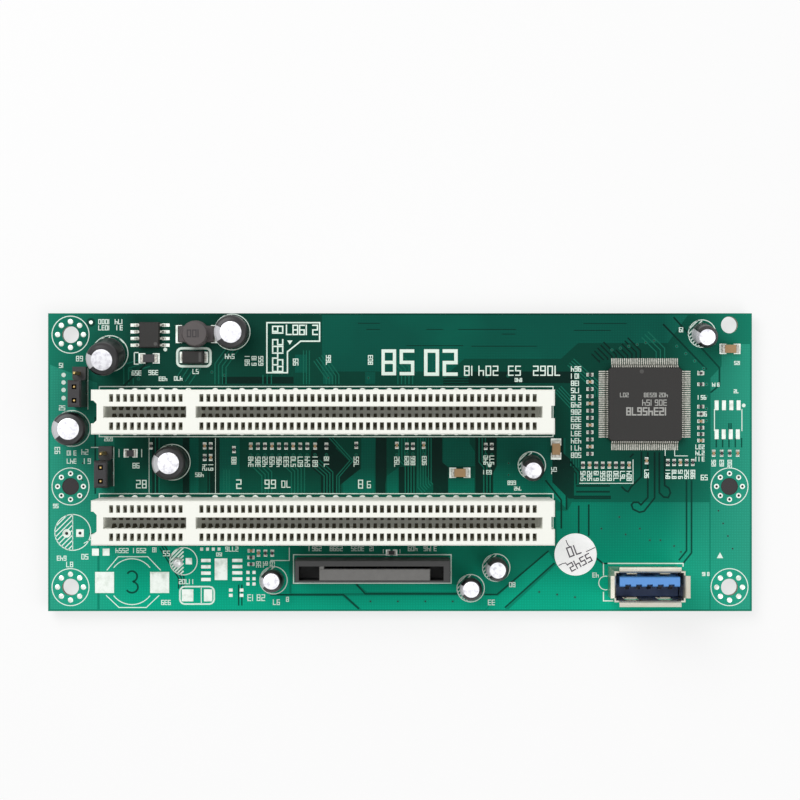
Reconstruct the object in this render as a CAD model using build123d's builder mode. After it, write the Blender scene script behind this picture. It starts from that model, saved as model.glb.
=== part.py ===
from build123d import *

import os
from math import cos, radians, sin

# Dual slot riser board. X runs along the board, Y across it and Z up from the tips of the pegs and feet
# that stand under it. The origin is at the middle of the board's outline. All sizes are millimetres.

# Board
board_length = 133.5
board_width = 56.5
board_thickness = 1.6
under_height = 1.5
board_bottom = under_height
board_top = board_bottom + board_thickness
board_right = board_length / 2
board_left = -board_right
board_rear = board_width / 2

# Mounting holes. The rear right hole sits closer to the edge than the others.
mount_hole_diameter = 3.2
mount_inset_x = 4.25
mount_inset_rear_left = 4.05
mount_inset_rear_right = 2.2
mount_inset_front = 4.55
middle_hole_from_front = 23.65
mount_x = board_right - mount_inset_x
front_hole_y = mount_inset_front - board_rear
middle_hole_y = middle_hole_from_front - board_rear
corner_hole_places = [
    (-mount_x, board_rear - mount_inset_rear_left),
    (mount_x, board_rear - mount_inset_rear_right),
    (-mount_x, front_hole_y),
    (mount_x, front_hole_y),
]

# Card slots
slot_pitch = 1.27
slot_positions = 62
key_position = 11
key_length = 2
slot_inset = 10.215
rear_slot_y = 9.6
slot_spacing = 20.32
slot_end = 3.7
slot_width = 8.2
slot_height = 14.35
card_gap_width = 2.0
card_gap_end = 1.43
card_gap_depth = 8.6
lead_in = 0.3
key_wall = 1.7
window_width = 0.56
window_length = 1.3
window_from_middle = 2.57
window_depth = 10.4
end_notch_left_depth = 1.07
end_notch_left_width = 4.2
end_notch_right_depth = 0.65
end_notch_right_width = 2.1
end_notch_corner = 0.6
slot_top = board_top + slot_height
slot_left_x = board_left + slot_inset
first_contact_x = slot_left_x + slot_end
last_contact_x = first_contact_x + (slot_positions - 1) * slot_pitch
slot_right_x = last_contact_x + slot_end
slot_middle_x = (slot_left_x + slot_right_x) / 2
right_room = board_right - slot_right_x
key_x = first_contact_x + (key_position + (key_length - 1) / 2) * slot_pitch
slot_rows_y = {1: rear_slot_y, 2: rear_slot_y - slot_spacing}
window_inner = window_from_middle - window_length / 2
window_outer = window_from_middle + window_length / 2
contact_xs = [
    first_contact_x + position * slot_pitch
    for position in range(slot_positions)
    if not key_position <= position < key_position + key_length
]

# Slot contacts and their soldered tails, which stand in two staggered rows on each side
leaf_clearance = 0.06
leaf_width = window_width - 2 * leaf_clearance
leaf_top_part = 0.12
leaf_bottom_part = 0.75
leaf_thickness = 0.3
tail_row_inner = 1.27
tail_row_outer = 3.81
joint_size = 1.25
joint_clearance = 0.1
joint_height = under_height - joint_clearance

# Locating pegs under the slots, eight-sided, with their size measured across the flats
peg_flats = 2.3
peg_sides = 8
peg_hole_clearance = 0.05
peg_left_inset = 2.65
peg_right_inset = 1.7
peg_xs = [slot_left_x + peg_left_inset, slot_right_x - peg_right_inset]

# Bridge chip. Its place, like the USB socket's, is a share of the room between the slots and the right edge.
bridge_share = 0.47
bridge_x = slot_right_x + bridge_share * right_room
bridge_y = 11.0
bridge_body = 14.0
bridge_span = 16.0
bridge_height = 1.5
bridge_standoff = 0.1
bridge_lead_count = 32
bridge_lead_pitch = 0.4
bridge_lead_width = 0.18
bridge_lead_thickness = 0.14
bridge_body_straight = 0.8
bridge_draft = 12

# Pin headers in a row across the board, with a jumper cap on the two front pins of each
header_pitch = 2.54
header_width = 2.5
header_height = 2.54
header_notch = 0.4
header_pin = 0.64
header_pin_rise = 6.0
header_pin_drop = 0.3
header_hole_clearance = 0.13
header_middles = {1: (board_left + 6.25, 14.26), 2: (board_left + 11.15, -0.74)}
header_steps = (1, 0, -1)
jumper_length = 5.0
jumper_height = 6.0
jumper_socket_clearance = 0.12
jumper_edge = 0.3

# Sizes of the electrolytic cans: diameter, height and lead pitch
can_sizes = {"large": (6.3, 7.0, 2.5), "small": (4.2, 6.8, 1.5)}
can_rim = 0.3
large_can_radius = can_sizes["large"][0] / 2
can_1_from_header = 1.1
can_1_x = header_middles[1][0] + header_width / 2 + can_1_from_header + large_can_radius

# Regulator chip, with leads to the left and right, beside the first can
regulator_span = 6.0
regulator_from_can = 1.45
regulator_x = can_1_x + large_can_radius + regulator_from_can + regulator_span / 2
regulator_y = 24.1
regulator_body_width = 3.9
regulator_body_length = 4.9
regulator_height = 1.7
regulator_standoff = 0.15
regulator_lead_count = 4
regulator_lead_pitch = 1.27
regulator_lead_width = 0.42
regulator_lead_thickness = 0.2
regulator_foot = 0.6
regulator_body_straight = 1.0
regulator_draft = 14

# Power inductor, between the regulator and the second can
inductor_length = 6.7
terminal_thickness = 0.12
inductor_reach = inductor_length / 2 + terminal_thickness
inductor_from_regulator = 2.33
inductor_x = regulator_x + regulator_span / 2 + inductor_from_regulator + inductor_reach
inductor_y = 24.3
can_2_from_inductor = 0.13
can_2_x = inductor_x + inductor_reach + can_2_from_inductor + large_can_radius
inductor_wing = 3.1
inductor_base = 1.0
inductor_waist_diameter = 4.1
inductor_flange_diameter = 4.8
inductor_flange = 0.9
inductor_height = 4.2
inductor_terminal_length = 1.2

# Power diode, in front of the inductor
diode_left_of_inductor = 0.5
diode_x = inductor_x - diode_left_of_inductor
diode_y = 19.9
diode_length = 4.2
diode_width = 2.5
diode_height = 2.1
diode_draft = 6
diode_terminal_out = 0.35
diode_terminal_rise = 1.0
diode_terminal_width = 1.4
diode_terminal_thickness = 0.2

# Upright USB socket
usb_share = 0.461
usb_x = slot_right_x + usb_share * right_room
usb_y = -22.6
usb_mouth_length = 12.5
usb_mouth_width = 5.12
usb_sheet = 0.3
usb_height = 12.4
usb_lip_out = 0.95
usb_lip_up = 0.45
usb_lip_side_trim = 0.6
usb_leg_width = 1.8
usb_leg_clearance = 0.12
usb_finger_width = 1.9
usb_finger_length = 5.0
usb_finger_gap = 0.35
usb_finger_from_middle = 3.1
usb_finger_below_mouth = 2.6
usb_fit = 0.05
usb_insulator_base = 4.2
usb_tongue_length = 11.1
usb_tongue_thickness = 1.84
usb_tongue_gap = 0.75
usb_tongue_below_mouth = 0.9
usb_contact_thickness = 0.15
usb_near_steps = (-4.0, -2.0, 0.0, 2.0, 4.0)
usb_near_width = 0.9
usb_near_length = 2.2
usb_near_stand = 0.9
usb_far_steps = (-3.5, -1.0, 1.0, 3.5)
usb_far_width = 1.0
usb_far_above_base = 0.4
usb_far_from_tip = 2.6
usb_tail_row = 0.95
usb_length = usb_mouth_length + 2 * usb_sheet
usb_width = usb_mouth_width + 2 * usb_sheet
usb_top = board_top + usb_height
usb_leg_xs = [usb_x - (usb_length - usb_sheet) / 2, usb_x + (usb_length - usb_sheet) / 2]
usb_inside_rear_y = usb_y + usb_mouth_width / 2
usb_tongue_rear_y = usb_inside_rear_y - usb_tongue_gap
usb_tongue_front_y = usb_tongue_rear_y - usb_tongue_thickness
usb_tongue_top = usb_top - usb_tongue_below_mouth

# Fifteen-position power plug
plug_right_of_middle = 9.0
plug_x = slot_middle_x + plug_right_of_middle
plug_y = -20.05
plug_length = 28.9
plug_width = 4.1
plug_height = 8.4
plug_rear_wall = 0.8
plug_front_wall = 0.35
plug_left_wall = 0.75
plug_right_wall = 1.25
plug_floor = 2.2
plug_tongue_length = 20.6
plug_tongue_thickness = 1.75
plug_left_pocket = 3.8
plug_blades = 15
plug_pitch = 1.27
plug_blade_width = 0.75
plug_blade_thickness = 0.12
plug_blade_below_top = 0.5
plug_tail_row = 1.0
plug_left_x = plug_x - plug_length / 2
plug_front_y = plug_y - plug_width / 2
plug_cavity_length = plug_length - plug_left_wall - plug_right_wall
plug_cavity_width = plug_width - plug_rear_wall - plug_front_wall
plug_cavity_front_y = plug_front_y + plug_front_wall
plug_tongue_left_x = plug_left_x + plug_left_wall + plug_left_pocket
plug_tongue_x = plug_tongue_left_x + plug_tongue_length / 2
plug_tongue_rear_y = plug_cavity_front_y + plug_tongue_thickness
plug_blade_xs = [plug_tongue_x + (i - (plug_blades - 1) / 2) * plug_pitch for i in range(plug_blades)]

# Electrolytic cans: name, X, Y, size, lean in degrees, and the direction of the lean from the X axis
cans = [
    ("capacitor_1", can_1_x, 20.6, "large", 12.0, 247.0),
    ("capacitor_2", can_2_x, 24.7, "large", 3.0, 320.0),
    ("capacitor_3", board_left + 4.55, 6.4, "large", 3.0, 0.0),
    ("capacitor_4", board_left + 23.55, 0.0, "large", 0.0, 0.0),
    ("capacitor_5", slot_right_x - 3.335, -0.6, "small", 6.5, 260.0),
    ("capacitor_6", board_right - 9.45, 24.4, "small", 7.5, 270.0),
    ("capacitor_7", plug_x - 18.9, -22.4, "small", 3.0, 90.0),
    ("capacitor_8", plug_x + 18.5, -23.9, "small", 3.0, 110.0),
    ("capacitor_9", plug_x + 23.35, -20.0, "small", 0.0, 0.0),
]

# Chip capacitors and the chip resistor: X, Y, length along X, width along Y, height
chips = [
    (board_left + 15.65, 1.7, 2.0, 1.25, 0.8),
    (slot_right_x - 16.985, -2.0, 3.2, 1.6, 0.9),
    (slot_right_x + 1.265, 2.5, 1.6, 3.2, 0.9),
    (board_right - 4.15, 21.5, 3.2, 1.6, 0.9),
    (plug_x + 3.5, -17.15, 1.6, 0.8, 0.5),
    (regulator_x - 0.2, 19.7, 3.2, 1.6, 0.6),
]

# Feet pushed into the two middle mounting holes
foot_diameter = 8.0
foot_stem_clearance = 0.04
foot_stem_below_top = 0.1

# Paper sticker, in the room between the end of the slots and the USB socket
sticker_left_clearance = 0.965
sticker_right_clearance = 2.19
sticker_y = -17.5
sticker_thickness = 0.1
sticker_left_x = slot_right_x + sticker_left_clearance
sticker_diameter = usb_x - usb_length / 2 - sticker_right_clearance - sticker_left_x
sticker_x = sticker_left_x + sticker_diameter / 2

os.makedirs("parts", exist_ok=True)


# Names the finished part and writes it.
def finish(builder, label):
    builder.part.label = label
    export_step(builder.part, f"parts/{label}.step")


# Places where a slot's tails leave the board, in turn in the inner and the outer row of each side.
def tail_places(middle_y):
    rows = (tail_row_outer, tail_row_inner)
    return [(x, middle_y + side * rows[i % 2]) for i, x in enumerate(contact_xs) for side in (-1, 1)]


header_pin_places = {
    number: [(x, y + step * header_pitch) for step in header_steps]
    for number, (x, y) in header_middles.items()
}
usb_leg_places = [(x, usb_y) for x in usb_leg_xs]
peg_places = [(x, y) for x in peg_xs for y in slot_rows_y.values()]
middle_hole_places = [(-mount_x, middle_hole_y), (mount_x, middle_hole_y)]

# Circuit board
with BuildPart() as circuit_board:
    with BuildSketch(Plane.XY.offset(board_bottom)):
        Rectangle(board_length, board_width)
        with Locations(*corner_hole_places, *middle_hole_places):
            Circle(mount_hole_diameter / 2, mode=Mode.SUBTRACT)
        with Locations(*peg_places):
            RegularPolygon(
                peg_flats / 2 + peg_hole_clearance, peg_sides, major_radius=False, mode=Mode.SUBTRACT
            )
        pin_hole = header_pin + 2 * header_hole_clearance
        with Locations(*header_pin_places[1], *header_pin_places[2]):
            Rectangle(pin_hole, pin_hole, mode=Mode.SUBTRACT)
        with Locations(*usb_leg_places):
            Rectangle(
                usb_sheet + 2 * usb_leg_clearance, usb_leg_width + 2 * usb_leg_clearance, mode=Mode.SUBTRACT
            )
    extrude(amount=board_thickness)
finish(circuit_board, "circuit_board")


# White slot body: a bar with a keyed card gap, a window behind each contact and two pegs through the board.
def make_slot_housing(number, middle_y):
    with BuildPart() as housing:
        with BuildSketch(Plane.XY.offset(board_top)):
            with Locations((slot_middle_x, middle_y)):
                Rectangle(slot_right_x - slot_left_x, slot_width)
            with Locations((slot_left_x, middle_y)):
                Rectangle(2 * end_notch_left_depth, end_notch_left_width, mode=Mode.SUBTRACT)
            with Locations((slot_right_x, middle_y)):
                Rectangle(2 * end_notch_right_depth, end_notch_right_width, mode=Mode.SUBTRACT)
        extrude(amount=slot_height)
        notch_corners = housing.edges().filter_by(Axis.Z).filter_by_position(
            Axis.X, slot_left_x + end_notch_left_depth, slot_left_x + end_notch_left_depth
        )
        chamfer(notch_corners, end_notch_corner)
        with BuildSketch(Plane.XY.offset(board_top)):
            with Locations(*[(x, middle_y) for x in peg_xs]):
                RegularPolygon(peg_flats / 2, peg_sides, major_radius=False)
        extrude(amount=-board_top)
        gap_ends = [first_contact_x - card_gap_end, key_x - key_wall / 2]
        gap_ends += [key_x + key_wall / 2, last_contact_x + card_gap_end]
        with BuildSketch(Plane.XY.offset(slot_top)):
            for start, stop in (gap_ends[:2], gap_ends[2:]):
                with Locations(((start + stop) / 2, middle_y)):
                    Rectangle(stop - start, card_gap_width)
        extrude(amount=-card_gap_depth, mode=Mode.SUBTRACT)
        rim = housing.edges().filter_by_position(Axis.Z, slot_top, slot_top)
        inside = rim.filter_by_position(Axis.Y, middle_y - card_gap_width, middle_y + card_gap_width)
        chamfer(inside.filter_by_position(Axis.X, gap_ends[0], gap_ends[3]), lead_in)
        with BuildSketch(*[Plane.YZ.offset(x - window_width / 2) for x in contact_xs]):
            for side in (-1, 1):
                with BuildLine():
                    Polyline(
                        (middle_y + side * window_inner, slot_top),
                        (middle_y + side * window_outer, slot_top),
                        (middle_y + side * window_outer, slot_top - window_depth),
                        close=True,
                    )
                make_face()
        extrude(amount=window_width, mode=Mode.SUBTRACT)
    finish(housing, f"pci_slot_housing_{number}")


# Leaf contacts: each lies against the sloping inner wall of its window, thickest at its foot. Its ends are
# given as parts of the way down that wall.
def make_slot_contacts(number, middle_y):
    slope = window_outer - window_inner
    with BuildPart() as contacts:
        with BuildSketch(*[Plane.YZ.offset(x - leaf_width / 2) for x in contact_xs]):
            for side in (-1, 1):
                head_y = middle_y + side * (window_inner + slope * leaf_top_part)
                foot_y = middle_y + side * (window_inner + slope * leaf_bottom_part)
                foot_z = slot_top - window_depth * leaf_bottom_part
                with BuildLine():
                    Polyline(
                        (head_y, slot_top - window_depth * leaf_top_part),
                        (foot_y, foot_z),
                        (foot_y + side * leaf_thickness, foot_z),
                        close=True,
                    )
                make_face()
        extrude(amount=leaf_width)
    finish(contacts, f"pci_slot_contacts_{number}")


# One soldered tail under the board, as a four-sided cone.
with BuildPart() as joint:
    with BuildSketch(Plane.XY.offset(board_bottom)) as joint_foot:
        Rectangle(joint_size, joint_size)
    loft(sections=[joint_foot.sketch.face(), Vertex(0, 0, board_bottom - joint_height)])


# Soldered tails at the given places.
def make_joints(label, places):
    with BuildPart() as joints:
        with Locations(*places):
            add(joint.part)
    finish(joints, label)


for slot_number, slot_y in slot_rows_y.items():
    make_slot_housing(slot_number, slot_y)
    make_slot_contacts(slot_number, slot_y)
    make_joints(f"pci_slot_joints_{slot_number}", tail_places(slot_y))

# Bridge chip body, straight up to its parting line and drawn in above it
with BuildPart() as bridge_chip:
    with BuildSketch(Plane.XY.offset(board_top + bridge_standoff)):
        with Locations((bridge_x, bridge_y)):
            Rectangle(bridge_body, bridge_body)
    extrude(amount=bridge_body_straight)
    with BuildSketch(Plane.XY.offset(board_top + bridge_standoff + bridge_body_straight)):
        with Locations((bridge_x, bridge_y)):
            Rectangle(bridge_body, bridge_body)
    extrude(amount=bridge_height - bridge_standoff - bridge_body_straight, taper=bridge_draft)
finish(bridge_chip, "bridge_chip")

# Bridge chip leads, each sloping from the middle of the body's side down to a thin foot on the board
bridge_lead_steps = [
    (i - (bridge_lead_count - 1) / 2) * bridge_lead_pitch for i in range(bridge_lead_count)
]
bridge_lead_z = board_top + bridge_standoff + bridge_body_straight / 2
with BuildPart() as bridge_chip_leads:
    for plane_of, middle in (
        (lambda step: Plane.YZ.offset(bridge_x + step - bridge_lead_width / 2), bridge_y),
        (lambda step: Plane.XZ.offset(-bridge_y - step - bridge_lead_width / 2), bridge_x),
    ):
        with BuildSketch(*[plane_of(step) for step in bridge_lead_steps]):
            for side in (-1, 1):
                with BuildLine():
                    Polyline(
                        (middle + side * bridge_body / 2, bridge_lead_z + bridge_lead_thickness),
                        (middle + side * bridge_body / 2, bridge_lead_z),
                        (middle + side * bridge_span / 2, board_top),
                        close=True,
                    )
                make_face()
        extrude(amount=bridge_lead_width)
finish(bridge_chip_leads, "bridge_chip_leads")

# Regulator chip body
with BuildPart() as regulator_chip:
    with BuildSketch(Plane.XY.offset(board_top + regulator_standoff)):
        with Locations((regulator_x, regulator_y)):
            Rectangle(regulator_body_width, regulator_body_length)
    extrude(amount=regulator_body_straight)
    with BuildSketch(Plane.XY.offset(board_top + regulator_standoff + regulator_body_straight)):
        with Locations((regulator_x, regulator_y)):
            Rectangle(regulator_body_width, regulator_body_length)
    extrude(amount=regulator_height - regulator_standoff - regulator_body_straight, taper=regulator_draft)
finish(regulator_chip, "regulator_chip")

# Regulator leads, bent down from the body and out to a flat foot
regulator_lead_steps = [
    (i - (regulator_lead_count - 1) / 2) * regulator_lead_pitch for i in range(regulator_lead_count)
]
regulator_lead_z = board_top + regulator_standoff + regulator_body_straight / 2
regulator_bend = regulator_span / 2 - regulator_foot
with BuildPart() as regulator_leads:
    with BuildSketch(
        *[Plane.XZ.offset(-regulator_y - step - regulator_lead_width / 2) for step in regulator_lead_steps]
    ):
        for side in (-1, 1):
            with BuildLine():
                Polyline(
                    (regulator_x + side * regulator_body_width / 2, regulator_lead_z),
                    (regulator_x + side * (regulator_bend - regulator_lead_thickness), regulator_lead_z),
                    (regulator_x + side * (regulator_bend - regulator_lead_thickness), board_top),
                    (regulator_x + side * regulator_span / 2, board_top),
                    (regulator_x + side * regulator_span / 2, board_top + regulator_lead_thickness),
                    (regulator_x + side * regulator_bend, board_top + regulator_lead_thickness),
                    (regulator_x + side * regulator_bend, regulator_lead_z + regulator_lead_thickness),
                    (
                        regulator_x + side * regulator_body_width / 2,
                        regulator_lead_z + regulator_lead_thickness,
                    ),
                    close=True,
                )
            make_face()
    extrude(amount=regulator_lead_width)
finish(regulator_leads, "regulator_leads")

# Power inductor: a winged base, a wound waist and a round top flange, all coated
with BuildPart() as power_inductor:
    with BuildSketch(Plane.XY.offset(board_top + terminal_thickness)):
        with Locations((inductor_x, inductor_y)):
            Rectangle(inductor_length, inductor_wing)
            RegularPolygon(inductor_flange_diameter / 2, 8, major_radius=False)
    extrude(amount=inductor_base)
    with BuildSketch(Plane.XY.offset(board_top + terminal_thickness + inductor_base)):
        with Locations((inductor_x, inductor_y)):
            Circle(inductor_waist_diameter / 2)
    extrude(amount=inductor_height - terminal_thickness - inductor_base - inductor_flange)
    with BuildSketch(Plane.XY.offset(board_top + inductor_height - inductor_flange)):
        with Locations((inductor_x, inductor_y)):
            Circle(inductor_flange_diameter / 2)
    extrude(amount=inductor_flange)
finish(power_inductor, "power_inductor")

# Its terminals, folded from under the base up its two ends
with BuildPart() as inductor_terminals:
    with BuildSketch(Plane.XZ.offset(-inductor_y - inductor_wing / 2)):
        for side in (-1, 1):
            end_x = inductor_x + side * inductor_length / 2
            outside_x = end_x + side * terminal_thickness
            with BuildLine():
                Polyline(
                    (end_x - side * inductor_terminal_length, board_top),
                    (outside_x, board_top),
                    (outside_x, board_top + terminal_thickness + inductor_base),
                    (end_x, board_top + terminal_thickness + inductor_base),
                    (end_x, board_top + terminal_thickness),
                    (end_x - side * inductor_terminal_length, board_top + terminal_thickness),
                    close=True,
                )
            make_face()
    extrude(amount=inductor_wing)
finish(inductor_terminals, "inductor_terminals")

# Power diode body
with BuildPart() as power_diode:
    with BuildSketch(Plane.XY.offset(board_top + diode_terminal_thickness)):
        with Locations((diode_x, diode_y)):
            Rectangle(diode_length, diode_width)
    extrude(amount=diode_height - diode_terminal_thickness, taper=diode_draft)
finish(power_diode, "power_diode")

# Its flat terminals, which lie under the body and stand out at both ends
with BuildPart() as diode_terminals:
    with BuildSketch(Plane.XY.offset(board_top)):
        for side in (-1, 1):
            length = diode_terminal_out + diode_terminal_rise
            with Locations((diode_x + side * (diode_length / 2 + diode_terminal_out - length / 2), diode_y)):
                Rectangle(length, diode_terminal_width)
    extrude(amount=diode_terminal_thickness)
finish(diode_terminals, "diode_terminals")

# USB socket shell: a folded sheet tube with a flared lip on each side, four spring fingers and two legs
with BuildPart() as usb_shell:
    with BuildSketch(Plane.XY.offset(board_top)):
        with Locations((usb_x, usb_y)):
            Rectangle(usb_length, usb_width)
            Rectangle(usb_mouth_length, usb_mouth_width, mode=Mode.SUBTRACT)
    extrude(amount=usb_height - usb_lip_up)
    lip_foot_z = usb_top - usb_lip_up
    with BuildSketch(Plane.YZ.offset(usb_x - usb_length / 2 + usb_lip_side_trim)):
        for side in (-1, 1):
            with BuildLine():
                Polyline(
                    (usb_y + side * usb_mouth_width / 2, lip_foot_z),
                    (usb_y + side * usb_width / 2, lip_foot_z),
                    (usb_y + side * (usb_width / 2 + usb_lip_out), usb_top - usb_sheet),
                    (usb_y + side * (usb_width / 2 + usb_lip_out), usb_top),
                    (usb_y + side * usb_mouth_width / 2, lip_foot_z + usb_sheet),
                    close=True,
                )
            make_face()
    extrude(amount=usb_length - 2 * usb_lip_side_trim)
    with BuildSketch(Plane.XZ.offset(-usb_y - usb_width / 2 + usb_lip_side_trim)):
        for side in (-1, 1):
            with BuildLine():
                Polyline(
                    (usb_x + side * usb_mouth_length / 2, lip_foot_z),
                    (usb_x + side * usb_length / 2, lip_foot_z),
                    (usb_x + side * (usb_length / 2 + usb_lip_out), usb_top - usb_sheet),
                    (usb_x + side * (usb_length / 2 + usb_lip_out), usb_top),
                    (usb_x + side * usb_mouth_length / 2, lip_foot_z + usb_sheet),
                    close=True,
                )
            make_face()
    extrude(amount=usb_width - 2 * usb_lip_side_trim)
    with BuildSketch(Plane.XZ.offset(-usb_y - usb_width / 2)):
        finger_top_z = usb_top - usb_finger_below_mouth
        finger_middle_z = finger_top_z - usb_finger_length / 2
        for side in (-1, 1):
            with Locations((usb_x + side * usb_finger_from_middle, finger_middle_z)):
                Rectangle(usb_finger_width + 2 * usb_finger_gap, usb_finger_length)
            with Locations((usb_x + side * usb_finger_from_middle, finger_middle_z + usb_finger_gap)):
                Rectangle(usb_finger_width, usb_finger_length, mode=Mode.SUBTRACT)
    extrude(amount=usb_width, mode=Mode.SUBTRACT)
    with BuildSketch(Plane.XY.offset(board_top)):
        with Locations(*usb_leg_places):
            Rectangle(usb_sheet, usb_leg_width)
    extrude(amount=joint_clearance - board_top)
finish(usb_shell, "usb_shell")

# USB insulator: a base that fills the bottom of the shell, with the tongue rising from its rear part
with BuildPart() as usb_insulator:
    with BuildSketch(Plane.XY.offset(board_top)):
        with Locations((usb_x, usb_y)):
            Rectangle(usb_mouth_length - 2 * usb_fit, usb_mouth_width - 2 * usb_fit)
    extrude(amount=usb_insulator_base)
    with BuildSketch(Plane.XY.offset(board_top + usb_insulator_base)):
        with Locations((usb_x, (usb_tongue_rear_y + usb_tongue_front_y) / 2)):
            Rectangle(usb_tongue_length, usb_tongue_thickness)
    extrude(amount=usb_tongue_top - board_top - usb_insulator_base)
finish(usb_insulator, "usb_insulator")

# USB contacts on the tongue's front face: five short ones near its tip and four long ones behind them
with BuildPart() as usb_contacts:
    with BuildSketch(Plane.XZ.offset(-usb_tongue_front_y)):
        for step in usb_near_steps:
            with Locations((usb_x + step, usb_tongue_top - usb_near_length / 2)):
                Rectangle(usb_near_width, usb_near_length)
    extrude(amount=usb_near_stand)
    with BuildSketch(Plane.XZ.offset(-usb_tongue_front_y)):
        far_top_z = usb_tongue_top - usb_far_from_tip
        far_bottom_z = board_top + usb_insulator_base + usb_far_above_base
        for step in usb_far_steps:
            with Locations((usb_x + step, (far_top_z + far_bottom_z) / 2)):
                Rectangle(usb_far_width, far_top_z - far_bottom_z)
    extrude(amount=usb_contact_thickness)
finish(usb_contacts, "usb_contacts")

# Power plug: a moulded shroud whose tongue stands against the thin front wall between two end pockets
with BuildPart() as power_plug_housing:
    with BuildSketch(Plane.XY.offset(board_top)):
        with Locations((plug_x, plug_y)):
            Rectangle(plug_length, plug_width)
    extrude(amount=plug_height)
    with BuildSketch(Plane.XY.offset(board_top + plug_floor)):
        cavity_x = plug_left_x + plug_left_wall + plug_cavity_length / 2
        with Locations((cavity_x, plug_cavity_front_y + plug_cavity_width / 2)):
            Rectangle(plug_cavity_length, plug_cavity_width)
        with Locations((plug_tongue_x, plug_cavity_front_y + plug_tongue_thickness / 2)):
            Rectangle(plug_tongue_length, plug_tongue_thickness, mode=Mode.SUBTRACT)
    extrude(amount=plug_height - plug_floor, mode=Mode.SUBTRACT)
finish(power_plug_housing, "power_plug_housing")

# Power plug blades on the rear face of the tongue
with BuildPart() as power_plug_contacts:
    with BuildSketch(Plane.XY.offset(board_top + plug_floor)):
        with Locations(*[(x, plug_tongue_rear_y + plug_blade_thickness / 2) for x in plug_blade_xs]):
            Rectangle(plug_blade_width, plug_blade_thickness)
    extrude(amount=plug_height - plug_floor - plug_blade_below_top)
finish(power_plug_contacts, "power_plug_contacts")


# A can stands on its lower rim and leans in one direction, so its base is raised on the other side.
def can_plane(x, y, diameter, lean, direction):
    out = Vector(cos(radians(direction)), sin(radians(direction)), 0)
    up = out * sin(radians(lean)) + Vector(0, 0, cos(radians(lean)))
    raised = board_top + diameter / 2 * sin(radians(lean))
    return Plane(origin=(x, y, raised), z_dir=up)


def make_can(label, x, y, size, lean, direction):
    diameter, height, _ = can_sizes[size]
    with BuildPart() as can:
        with BuildSketch(can_plane(x, y, diameter, lean, direction)):
            Circle(diameter / 2)
        extrude(amount=height)
        chamfer(can.edges().filter_by(GeomType.CIRCLE).sort_by(Axis.Z)[-1], can_rim)
    finish(can, label)


for can_row in cans:
    make_can(*can_row)

# Soldered tails of the cans, the power plug and the USB socket
can_tail_places = [
    (x + side * can_sizes[size][2] / 2, y) for _, x, y, size, _, _ in cans for side in (-1, 1)
]
plug_tail_places = [(x, plug_y + (i % 2 - 0.5) * 2 * plug_tail_row) for i, x in enumerate(plug_blade_xs)]
usb_tail_places = [(usb_x + step, usb_y + usb_tail_row) for step in usb_near_steps]
usb_tail_places += [(usb_x + step, usb_y - usb_tail_row) for step in usb_far_steps]
make_joints("component_joints", can_tail_places + plug_tail_places + usb_tail_places)


# Pin header: a body with notched sides between its positions, square pins, and a cap over two of them.
def make_header(number, middle):
    middle_x, middle_y = middle
    body_length = len(header_steps) * header_pitch
    with BuildPart() as base:
        with BuildSketch(Plane.XY.offset(board_top)) as outline:
            with Locations((middle_x, middle_y)):
                Rectangle(header_width, body_length)
            with Locations(
                *[
                    (middle_x + side * header_width / 2, middle_y + step * header_pitch / 2)
                    for side in (-1, 1)
                    for step in (-1, 1)
                ]
            ):
                Rectangle(header_notch, header_notch, rotation=45, mode=Mode.SUBTRACT)
            with Locations(*header_pin_places[number]):
                Rectangle(header_pin, header_pin, mode=Mode.SUBTRACT)
        extrude(amount=header_height)
    finish(base, f"pin_header_{number}_base")
    with BuildPart() as pins:
        with BuildSketch(Plane.XY.offset(header_pin_drop)):
            with Locations(*header_pin_places[number]):
                Rectangle(header_pin, header_pin)
        extrude(amount=board_top + header_height + header_pin_rise - header_pin_drop)
    finish(pins, f"pin_header_{number}_pins")
    socket = header_pin + 2 * jumper_socket_clearance
    with BuildPart() as cap:
        with BuildSketch(Plane.XY.offset(board_top + header_height)):
            with Locations((middle_x, middle_y - header_pitch / 2)):
                Rectangle(header_width, jumper_length)
            with Locations(*header_pin_places[number][1:]):
                Rectangle(socket, socket, mode=Mode.SUBTRACT)
        extrude(amount=jumper_height)
        top = cap.edges().group_by(Axis.Z)[-1]
        chamfer(top.filter_by(lambda edge: edge.length > socket + jumper_edge), jumper_edge)
    finish(cap, f"jumper_cap_{number}")


for header_number, header_middle in header_middles.items():
    make_header(header_number, header_middle)

# Chip capacitors and the chip resistor
with BuildPart() as chip_parts:
    for chip_x, chip_y, chip_length, chip_width, chip_height in chips:
        with BuildSketch(Plane.XY.offset(board_top)):
            with Locations((chip_x, chip_y)):
                Rectangle(chip_length, chip_width)
        extrude(amount=chip_height)
finish(chip_parts, "ceramic_capacitors")

# Feet: a disc under the board and a stem that fills the mounting hole
for side_name, foot_x in (("left", -mount_x), ("right", mount_x)):
    with BuildPart() as foot:
        with BuildSketch(Plane.XY):
            with Locations((foot_x, middle_hole_y)):
                Circle(foot_diameter / 2)
        extrude(amount=under_height)
        with BuildSketch(Plane.XY.offset(board_bottom)):
            with Locations((foot_x, middle_hole_y)):
                Circle(mount_hole_diameter / 2 - foot_stem_clearance)
        extrude(amount=board_thickness - foot_stem_below_top)
    finish(foot, f"rubber_foot_{side_name}")

# Paper sticker
with BuildPart() as sticker:
    with BuildSketch(Plane.XY.offset(board_top)):
        with Locations((sticker_x, sticker_y)):
            Circle(sticker_diameter / 2)
    extrude(amount=sticker_thickness)
finish(sticker, "inspection_sticker")
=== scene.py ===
"""Looks of a dual slot riser board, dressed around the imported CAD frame.

Shapes are worked out in millimetres as (points, faces) parts and become metres when a mesh is made. X runs
along the board to the right, Y to its rear and Z up.
"""

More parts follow.
